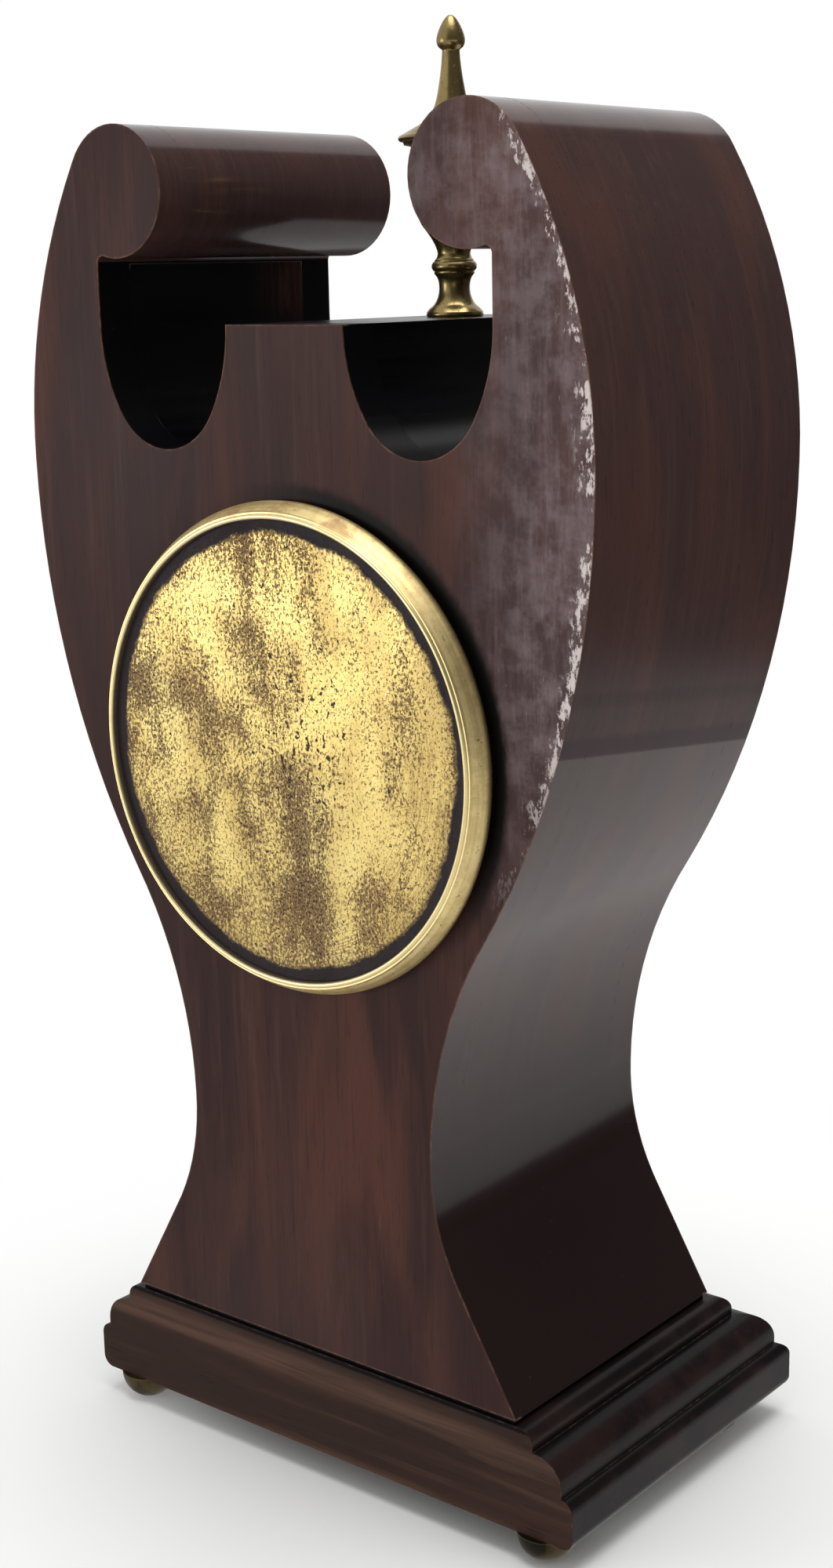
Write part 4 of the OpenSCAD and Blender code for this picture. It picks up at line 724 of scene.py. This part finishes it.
class ClockCase(bpy.types.PropertyGroup):
    """The case's colours."""
    panel: bpy.props.FloatVectorProperty(
        name="Panel", description="Darkest tone of the polished panels", subtype="COLOR", size=3,
        min=0.0, max=1.0, default=(0.034, 0.0145, 0.0135))
    panel_red: bpy.props.FloatVectorProperty(
        name="Panel, red", description="Red tone of the panels' figure", subtype="COLOR", size=3,
        min=0.0, max=1.0, default=(0.083, 0.0305, 0.0215))
    panel_pale: bpy.props.FloatVectorProperty(
        name="Panel, pale", description="Pale ribbons of the panels", subtype="COLOR", size=3,
        min=0.0, max=1.0, default=(0.085, 0.042, 0.034))


class ClockBrass(bpy.types.PropertyGroup):
    """The brass fittings' colours."""
    rubbed: bpy.props.FloatVectorProperty(
        name="Rubbed brass", description="Brass where hands have kept it bright", subtype="COLOR",
        size=3, min=0.0, max=1.0, default=(0.34, 0.25, 0.1))
    dull: bpy.props.FloatVectorProperty(
        name="Dull brass", description="Brown tarnish on the brass", subtype="COLOR", size=3,
        min=0.0, max=1.0, default=(0.06, 0.045, 0.02))


class ClockDial(bpy.types.PropertyGroup):
    """The dial's sizes."""
    numeral: bpy.props.FloatProperty(
        name="Figures", description="Height of the hour figures", subtype="DISTANCE",
        unit="LENGTH", default=0.0078, min=0.005, max=0.01)
    numeral_at: bpy.props.FloatProperty(
        name="Figures' ring", description="Radius of the middle of the hour figures",
        subtype="DISTANCE", unit="LENGTH", default=0.0315, min=0.025, max=0.034)
    track: bpy.props.FloatProperty(
        name="Minute track", description="Outer radius of the minute track", subtype="DISTANCE",
        unit="LENGTH", default=0.0398, min=0.036, max=0.041)


class ClockStage(bpy.types.PropertyGroup):
    """Lamps."""
    key: bpy.props.FloatProperty(
        name="Key lamp", description="Power of the large lamp behind the camera's left",
        unit="POWER", default=4.6, min=0.0, max=60.0)
    top: bpy.props.FloatProperty(
        name="Top lamp", description="Power of the lamp over the clock", unit="POWER",
        default=10.0, min=0.0, max=60.0)
    ambient: bpy.props.FloatProperty(
        name="Room light", description="Strength of the light from all round", default=0.55,
        min=0.0, max=1.5)


class PolishCase(bpy.types.Operator):
    """Polish the boards of the case"""
    bl_idname = "clock.polish_case"
    bl_label = "Polish the case"

    def execute(self, context):
        case = context.scene.clock_case
        tones = (tuple(case.panel), tuple(case.panel_red), tuple(case.panel_pale))
        paint(polish_case("mahogany, back panel", tones, True, 0.0), "back_panel")
        paint(polish_case("mahogany, front panel", tones, False, 60.0), "front_panel")
        paint(polish_veneer("mahogany veneer"), "side_left", "side_right", "scroll_left",
              "scroll_right")
        paint(ebonise("ebonised wood"), "arch_liner_left", "arch_liner_right", "top_board",
              "bottom_board")
        paint(polish_plinth("mahogany, plinth"), "plinth")
        paint(raw_wood("softwood"), "glue_blocks")
        return {"FINISHED"}


class TurnFinial(bpy.types.Operator):
    """Turn the finial's vase and lid"""
    bl_idname = "clock.turn_finial"
    bl_label = "Turn the finial"

    def execute(self, context):
        brass = context.scene.clock_brass
        old = tarnish("brass, finial", tuple(brass.rubbed), tuple(brass.dull), 0.6, 0.24, 12.0,
                      0.25)
        foot = Vector((FINIAL.x, FINIAL.y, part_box("finial_vase")[0].z))
        lid_z = (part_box("finial_lid")[0].z - foot.z) / MM
        bm = bmesh.new()
        stem = smooth_line([(5.85, 1.0), (5.2, 1.75), (4.1, 2.6), (3.3, 4.4), (3.15, 6.2),
                            (3.4, 7.8), (4.2, 8.8)])
        knob = bow(3.55, 10.2, 1.15, -60, 62, 10)
        neck = smooth_line([(4.1, 11.4), (3.5, 12.0), (3.35, 13.2), (4.4, 15.6), (6.6, 18.6)])
        bowl = smooth_line([(6.9, 19.2), (8.5, 22.4), (9.0, 26.0), (8.3, 29.6), (6.6, 32.0),
                            (6.2, 32.9), (7.6, 33.9), (9.6, lid_z)])
        turn_profile(bm, [(1.5, 0.0), (5.75, 0.0), (5.95, 0.35), (5.85, 1.0)] + stem[1:] + knob
                     + neck + bowl + [(1.5, lid_z)], foot, (0, 0, 1), 80)
        finish_piece(bm, "finial_vase_turned", old, "case", ("finial_vase",), 50.0)
        bm = bmesh.new()
        rim = bow(10.45, 35.7, 0.62, -80, 75, 8)
        spire = smooth_line([(10.3, 36.45), (8.2, 37.6), (5.9, 38.8), (4.4, 40.2), (3.5, 42.0),
                             (2.9, 44.2), (2.35, 47.4), (1.95, 50.4), (1.8, 52.6)])
        tip = smooth_line([(1.85, 52.9), (2.6, 53.4), (3.0, 54.5), (2.7, 56.0), (2.0, 57.6),
                           (1.2, 58.9), (0.5, 59.5), (0.0, 59.6)])
        turn_profile(bm, [(1.5, lid_z + 0.02), (9.9, lid_z + 0.02), (10.1, 35.0)] + rim + spire
                     + tip + [(0.0, lid_z + 3.0), (1.5, lid_z + 3.0)], foot, (0, 0, 1), 80)
        finish_piece(bm, "finial_lid_turned", old, "case", ("finial_lid",), 50.0)
        return {"FINISHED"}


class TurnFeet(bpy.types.Operator):
    """Turn the four bun feet"""
    bl_idname = "clock.turn_feet"
    bl_label = "Turn the feet"

    def execute(self, context):
        brass = context.scene.clock_brass
        # Dark tarnish with painted shade: the feet take the case brass at about a quarter of its
        # brightness.
        old = tarnish("brass, feet, tarnish and painted shade", tuple(c * 0.22 for c in brass.rubbed),
                      tuple(c * 0.25 for c in brass.dull), 1.3, 0.45, 31.0, 0.1)
        low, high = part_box("feet")
        middle_z = 6.0
        bm = bmesh.new()
        ball = bow(0.0, middle_z, FOOT_R / MM, -72.5, 1.5, 16)
        top = 1000 * high.z
        for x in (low.x + FOOT_R, high.x - FOOT_R):
            for y in (low.y + FOOT_R, high.y - FOOT_R):
                turn_profile(bm, [(0.0, 0.0)] + ball + [(5.4, top), (0.0, top)],
                             Vector((x, y, 0.0)), (0, 0, 1), 48)
        finish_piece(bm, "feet_turned", old, "case", ("feet",), 50.0)
        return {"FINISHED"}


class SpinCap(bpy.types.Operator):
    """Spin the back cap's ring and disc"""
    bl_idname = "clock.spin_cap"
    bl_label = "Spin the back cap"

    def execute(self, context):
        low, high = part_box("cap_ring")
        start = (low.y - BACK_Y) / MM
        lip = (high.y - BACK_Y) / MM
        outer = (high.x - low.x) / 2 / MM
        disc_low, disc_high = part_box("cap_disc")
        disc_r = (disc_high.x - disc_low.x) / 2 / MM
        disc = (disc_low.y - BACK_Y) / MM
        face = (disc_high.y - BACK_Y) / MM
        centre = Vector((DIAL.x, BACK_Y, DIAL.z))
        bm = bmesh.new()
        flank = smooth_line([(outer - 0.25, start), (outer - 0.02, start + 0.3),
                             (outer - 0.12, start + 1.3), (outer - 1.2, lip - 1.5),
                             (outer - 1.75, lip - 0.9), (outer - 1.95, lip - 0.45)])
        roll = bow(disc_r + 0.62, lip - 0.52, 0.52, 5, 178, 10)
        turn_profile(bm, [(disc_r - 0.5, start)] + flank + roll
                     + [(disc_r + 0.02, disc), (disc_r - 0.5, disc)], centre, (0, 1, 0), 160)
        finish_piece(bm, "cap_ring_turned", cap_rim_brass("brass, cap ring"), "back_cap",
                     ("cap_ring",), 50.0)
        bm = bmesh.new()
        rise = smooth_line([(disc_r - 0.02, face - 0.25), (disc_r - 1.0, face - 0.34),
                            (disc_r - 2.1, face - 0.3), (disc_r - 2.9, face - 0.04),
                            (disc_r - 4.2, face), (20.0, face), (0.0, face)])
        turn_profile(bm, [(0.0, disc), (disc_r - 0.02, disc)] + rise, centre, (0, 1, 0), 160)
        finish_piece(bm, "cap_disc_spun", cap_brass("brass, cap disc"), "back_cap",
                     ("cap_disc",), 50.0)
        return {"FINISHED"}


class TurnBezel(bpy.types.Operator):
    """Finish the bezel, its ring, hinge and glass"""
    bl_idname = "clock.finish_bezel"
    bl_label = "Finish the bezel"

    def execute(self, context):
        brass = context.scene.clock_brass
        bright = tuple(min(1.0, c * 1.35) for c in brass.rubbed)
        old = tarnish("brass, bezel", bright, tuple(brass.dull), 0.35, 0.24, 47.0)
        paint(old, "bezel", "bezel_ring", "glass_ring", "hinge_pin", "back_ring")
        paint(clear_glass("convex glass"), "bezel_glass")
        return {"FINISHED"}


ROMAN = ["XII", "I", "II", "III", "IIII", "V", "VI", "VII", "VIII", "IX", "X", "XI"]
# Each letter's width in figure heights; then, in shares of its width, its strokes (foot, head, and
# the thickness in figure heights), its serifs (middle, width), and whether its foot has serifs.
LETTERS = {
    "I": (0.26, ((0.0, 0.0, 0.13),), ((0.0, 0.24 / 0.26),), True),
    "V": (0.62, ((0.0, -0.33, 0.14), (0.0, 0.33, 0.045)), ((-0.32, 0.32), (0.32, 0.32)), False),
    "X": (0.62, ((0.3, -0.3, 0.14), (-0.3, 0.3, 0.045)), ((-0.3, 0.32), (0.3, 0.32)), True),
}


class PaintDial(bpy.types.Operator):
    """Lay the hour figures and the minute track on the enamel"""
    bl_idname = "clock.paint_dial"
    bl_label = "Paint the dial"

    def stroke(self, bm, angle, low, high, wide, y):
        """A stroke between two points (across, out from the centre), turned by an angle."""
        half = wide / 2
        corners = [(low[0] - half, low[1]), (low[0] + half, low[1]), (high[0] + half, high[1]),
                   (high[0] - half, high[1])]
        flat_piece(bm, [(1000 * DIAL.x + x * cos(angle) - out * sin(angle),
                         1000 * DIAL.z + x * sin(angle) + out * cos(angle)) for x, out in corners],
                   y, PAINT)

    def figure(self, bm, word, hour, size, radius, y):
        """One Roman figure, its foot towards the dial's centre."""
        angle = -hour * tau / 12
        start = -sum(LETTERS[letter][0] for letter in word) * size / 2
        low, high = radius - size / 2, radius + size / 2
        thin = size * 0.02
        for letter in word:
            share, strokes, serifs, footed = LETTERS[letter]
            wide = share * size
            mid = start + wide / 2
            for foot, head, thick in strokes:
                self.stroke(bm, angle, (mid + wide * foot, low), (mid + wide * head, high),
                            size * thick, y)
            for end in (low, high) if footed else (high,):
                for at, span in serifs:
                    self.stroke(bm, angle, (mid + wide * at, end - thin),
                                (mid + wide * at, end + thin), wide * span, y)
            start += wide

    def execute(self, context):
        dial = context.scene.clock_dial
        y = DIAL_FACE_Y - 0.00005
        bm = bmesh.new()
        for hour, word in enumerate(ROMAN):
            self.figure(bm, word, hour, dial.numeral / MM, dial.numeral_at / MM, y)
        track = dial.track / MM
        for minute in range(60):
            wide = 0.84 if minute % 5 == 0 else 0.32
            self.stroke(bm, -minute * tau / 60, (0.0, track - 2.1), (0.0, track - 0.1), wide, y)
        centre = Vector((DIAL.x, y, DIAL.z))
        for radius in (track, track - 2.2):
            turn_profile(bm, [(radius - 0.11, 0.0), (radius + 0.11, 0.0), (radius + 0.11, 0.06),
                              (radius - 0.11, 0.06)], centre, (0, 1, 0), 128)
        finish_piece(bm, "dial_figures", black_print("dial paint"), "case")
        paint(enamel("white enamel"), "dial")
        return {"FINISHED"}


class LayInlay(bpy.types.Operator):
    """Lay the boxwood stringing and the oval fan on the front"""
    bl_idname = "clock.lay_inlay"
    bl_label = "Lay the inlay"

    def side_line(self, inset):
        """Points (x, z) of the front's right edge, moved inwards by inset millimetres."""
        foot, waist, waist_z, waist_r = 52.3, 32.1, 48.3, 50.2
        run, rise = BULGE_HALF - waist, BULGE_UP - waist_z
        upper_r = (run * run + rise * rise) / (2 * run) - LOWER_R
        reach = (waist + waist_r - foot, waist_z)
        flare = degrees(atan2(reach[1], reach[0]) + asin(waist_r / hypot(*reach)))
        swing = degrees(atan2(rise, BULGE_HALF - LOWER_R - waist - upper_r))
        line = [(foot - inset * 1.9, 3.0)]
        line += bow(waist + waist_r, waist_z, waist_r + inset, flare + 90, 180, 14)
        line += bow(waist + upper_r, waist_z, upper_r + inset, 180, swing, 20)[1:]
        line += bow(BULGE_HALF - LOWER_R, BULGE_UP, LOWER_R - inset, swing - 180, 0, 24)[1:]
        line += bow(BULGE_HALF - UPPER_R, BULGE_UP, UPPER_R - inset, 0, 26.0, 14)[1:]
        return line

    def strip(self, bm, outer, inner, y):
        """A line between two rows of points."""
        for (a, b), (c, d) in zip(zip(outer, outer[1:]), zip(inner, inner[1:])):
            flat_piece(bm, [a, b, d, c], y, INLAY)

    def execute(self, context):
        y = FRONT_Y - 0.00012
        wide = 0.7
        bm = bmesh.new()
        for side in (1, -1):
            outer, inner = ([(side * x, z + BASE) for x, z in self.side_line(inset)]
                            for inset in (4.0, 4.0 + wide))
            self.strip(bm, outer, inner, y)
        foot = self.side_line(4.0 + wide / 2)[0][0]
        low, high = BASE + 3.0, BASE + 3.0 + wide
        flat_piece(bm, [(-foot, low), (foot, low), (foot, high), (-foot, high)], y, INLAY)
        ring = [(cos(i * tau / 64), sin(i * tau / 64)) for i in range(65)]
        outer, inner = ([((OVAL[0] - inset) * c, FAN_Z + (OVAL[1] - inset) * s) for c, s in ring]
                        for inset in (0.0, wide))
        self.strip(bm, outer, inner, y)
        finish_piece(bm, "boxwood_stringing", boxwood("boxwood"), "case")
        bm = bmesh.new()
        for i in range(PETALS):
            mid = (i + 0.5) * tau / PETALS
            half = tau / PETALS * 0.47
            petal = [(1.6 * cos(mid), FAN_Z + 2.3 * sin(mid))]
            for t in (-1.0, -0.75, -0.45, 0.0, 0.45, 0.75, 1.0):
                out = 0.86 + 0.14 * (1 - t * t) ** 0.5
                a = mid + t * half
                petal.append((13.9 * out * cos(a), FAN_Z + 20.2 * out * sin(a)))
            flat_piece(bm, petal, y + 0.00002, 0.00012)
        finish_piece(bm, "oval_fan", shaded_satinwood("satinwood"), "case")
        return {"FINISHED"}


class FinishMovement(bpy.types.Operator):
    """Finish the movement, the hands and the fixings"""
    bl_idname = "clock.finish_movement"
    bl_label = "Finish the movement"

    def execute(self, context):
        paint(movement_metal("brass, plates", (0.62, 0.45, 0.17), (0.7, 0.53, 0.23), 0.24,
                             (0.05, 1.5, 2.5)),
              "front_plate", "back_plate", "platform", "escape_cock", "balance_cock", "straps",
              "pillars", "dial_pan", "barrel_cover", "hand_collet")
        paint(movement_metal("brass, wheels", (0.66, 0.48, 0.18), (0.74, 0.57, 0.26), 0.2,
                             (1.2, 1.2, 1.2)),
              "barrel", "intermediate_wheel", "centre_wheel", "third_wheel", "fourth_wheel",
              "escape_wheel", "minute_wheel", "hour_wheel", "balance_wheel")
        paint(movement_metal("steel", (0.5, 0.5, 0.52), (0.62, 0.62, 0.64), 0.18, (3.0, 0.1, 3.0)),
              "foot_screws", "finial_rod", "strap_screws", "barrel_arbor", "ratchet_wheel",
              "click", "click_spring", "centre_arbor", "lever", "regulator", "hand_arbor",
              "cannon_pinion")
        paint(blue_steel("blued steel"), "hour_hand", "minute_hand", "pillar_screws",
              "mainspring", "hairspring")
        return {"FINISHED"}


class SetJewels(bpy.types.Operator):
    """Set the bearing jewels and the small screws on the platform"""
    bl_idname = "clock.set_jewels"
    bl_label = "Set the jewels"

    def execute(self, context):
        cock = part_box("balance_cock")[1].y
        escape = middle("escape_wheel")
        lever = middle("lever")
        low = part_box("escape_cock")[1].y
        bm = bmesh.new()
        for x, z, y, r in ((escape.x, escape.z, low, 0.9), (lever.x - 0.0005, lever.z, low, 0.7)):
            turn_profile(bm, [(0.0, 0.0), (r, 0.0), (r * 0.9, 0.22), (r * 0.4, 0.26), (0.0, 0.26)],
                         Vector((x, y + 0.00002, z)), (0, 1, 0), 24)
        finish_piece(bm, "bearing_jewels", ruby("ruby"), "case")
        bm = bmesh.new()
        corner_low, corner_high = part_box("platform")
        for x, z, y in ((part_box("escape_cock")[0].x + 0.0017, escape.z, low),
                        (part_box("balance_cock")[1].x - 0.0017, middle("balance_cock").z + 0.0011,
                         cock),
                        (corner_low.x + 0.0015, corner_low.z + 0.0015, corner_high.y),
                        (corner_high.x - 0.0015, corner_high.z - 0.0015, corner_high.y)):
            turn_profile(bm, [(0.0, 0.0), (1.0, 0.0), (1.0, 0.35), (0.85, 0.5), (0.0, 0.5)],
                         Vector((x, y + 0.00002, z)), (0, 1, 0), 24)
        finish_piece(bm, "platform_screws", blue_steel("blued screws"), "case")
        return {"FINISHED"}


class SetStage(bpy.types.Operator):
    """Set the floor, the lamps and the camera"""
    bl_idname = "clock.set_stage"
    bl_label = "Set the stage"

    def camera(self, context):
        """The photo's camera: 2000 pixels high, and 2855.6 pixels from its picture."""
        data = bpy.data.cameras.new("camera")
        data.sensor_width = 36.0
        data.lens = 2855.6 * data.sensor_width / 2000.0
        data.clip_start = 0.01
        data.clip_end = 20.0
        camera = add("camera", data)
        az, el, roll = radians(219.09), radians(12.93), radians(-1.166)
        back = Vector((sin(az) * cos(el), -cos(az) * cos(el), sin(el)))
        right = (-back).cross(Vector((0, 0, 1))).normalized()
        up = right.cross(-back)
        side = cos(roll) * right + sin(roll) * up
        top = -sin(roll) * right + cos(roll) * up
        place = Vector((-0.2914, 0.3567, 0.2206)) + Vector((0, (FRONT_Y + BACK_Y) / 2, BODY_Z))
        turn = Matrix((side, top, back)).transposed()
        camera.matrix_world = Matrix.Translation(place) @ turn.to_4x4()
        context.scene.camera = camera

    def lamp(self, name, place, target, wide, power):
        data = bpy.data.lights.new(name, "AREA")
        data.shape = "DISK"
        data.size = wide
        data.energy = power
        lamp = add(name, data)
        lamp.location = place
        lamp.rotation_euler = (Vector(target) - Vector(place)).to_track_quat("-Z", "Y").to_euler()

    def floor(self):
        """A floor that ends in white; glossy surfaces see a pale table in a dark room."""
        f = Finish("floor")
        x, y, _ = f.parts(f.node("ShaderNodeTexCoord", out="Object"))
        radius = (x * x + y * y).power(0.5)
        table = (1.0 - radius.rise(0.4, 0.5)).most(y.rise(-0.12, 0.1))
        far = (radius + x * 0.5).rise(0.03, 0.27)
        plain = f.node("ShaderNodeBsdfDiffuse", None, {"Color": (0.95, 0.955, 0.94)})
        camera_view = f.shade(far, plain, f.emit((1.0, 1.0, 1.0)))
        glossy_view = f.shade(table, f.emit((0.06, 0.05, 0.05)), f.emit((0.8, 0.8, 0.8)))
        f.show(f.shade(f.mirrored(), f.shade(f.seen(), plain, camera_view), glossy_view))
        bm = bmesh.new()
        bmesh.ops.create_circle(bm, cap_ends=True, segments=64, radius=4.0)
        floor = add_mesh(bm, "floor", f.material)

    def room(self, context, ambient):
        """White where the camera looks; glossy surfaces see one pale wall and a dim ceiling."""
        world = bpy.data.worlds.new("room")
        context.scene.world = world
        f = Finish("room", world)
        x, _, z = f.parts(f.node("ShaderNodeTexCoord", out="Generated"))
        wall = (x + z * 0.12).rise(-0.06, 0.04, 0.1, 0.85)
        ceiling = z.rise(0.75, 0.95, 0.0, 0.5)
        seen, mirrored = f.seen(), f.mirrored()
        level = seen + (1.0 - seen) * (mirrored * wall.most(ceiling) + (1.0 - mirrored) * ambient)
        f.show(f.node("ShaderNodeBackground", None, {"Color": (1.0, 1.0, 1.0), "Strength": level}),
               "ShaderNodeOutputWorld")

    def execute(self, context):
        stage = context.scene.clock_stage
        self.camera(context)
        self.floor()
        self.room(context, stage.ambient)
        self.lamp("key", (0.95, 1.15, 0.14), (0, 0, 0.16), 0.5, stage.key)
        self.lamp("top", (-0.1, 0.0, 1.25), (0, 0, 0.16), 0.9, stage.top)
        context.scene.view_settings.view_transform = "Standard"
        return {"FINISHED"}


class ClockPanel(bpy.types.Panel):
    """The clock's steps and settings"""
    bl_label = "Balloon clock"
    bl_idname = "VIEW3D_PT_balloon_clock"
    bl_space_type = "VIEW_3D"
    bl_region_type = "UI"
    bl_category = "Clock"

    def draw(self, context):
        for name in SETTINGS:
            settings = getattr(context.scene, name)
            box = self.layout.box()
            for key in settings.bl_rna.properties.keys():
                if key not in ("rna_type", "name"):
                    box.prop(settings, key)
        for step in STEPS:
            self.layout.operator(step.bl_idname)


SETTINGS = {"clock_case": ClockCase, "clock_brass": ClockBrass, "clock_dial": ClockDial,
            "clock_stage": ClockStage}
STEPS = [PolishCase, TurnFinial, TurnFeet, SpinCap, TurnBezel, PaintDial, LayInlay, FinishMovement,
         SetJewels, SetStage]


def register():
    for group in SETTINGS.values():
        bpy.utils.register_class(group)
    for name, group in SETTINGS.items():
        setattr(bpy.types.Scene, name, bpy.props.PointerProperty(type=group))
    for step in STEPS:
        bpy.utils.register_class(step)
    bpy.utils.register_class(ClockPanel)


def unregister():
    bpy.utils.unregister_class(ClockPanel)
    for step in reversed(STEPS):
        bpy.utils.unregister_class(step)
    for name, group in SETTINGS.items():
        delattr(bpy.types.Scene, name)
        bpy.utils.unregister_class(group)


def main():
    """Runs every step."""
    register()
    for step in STEPS:
        group, name = step.bl_idname.split(".")
        getattr(getattr(bpy.ops, group), name)()


if __name__ == "__main__":
    main()
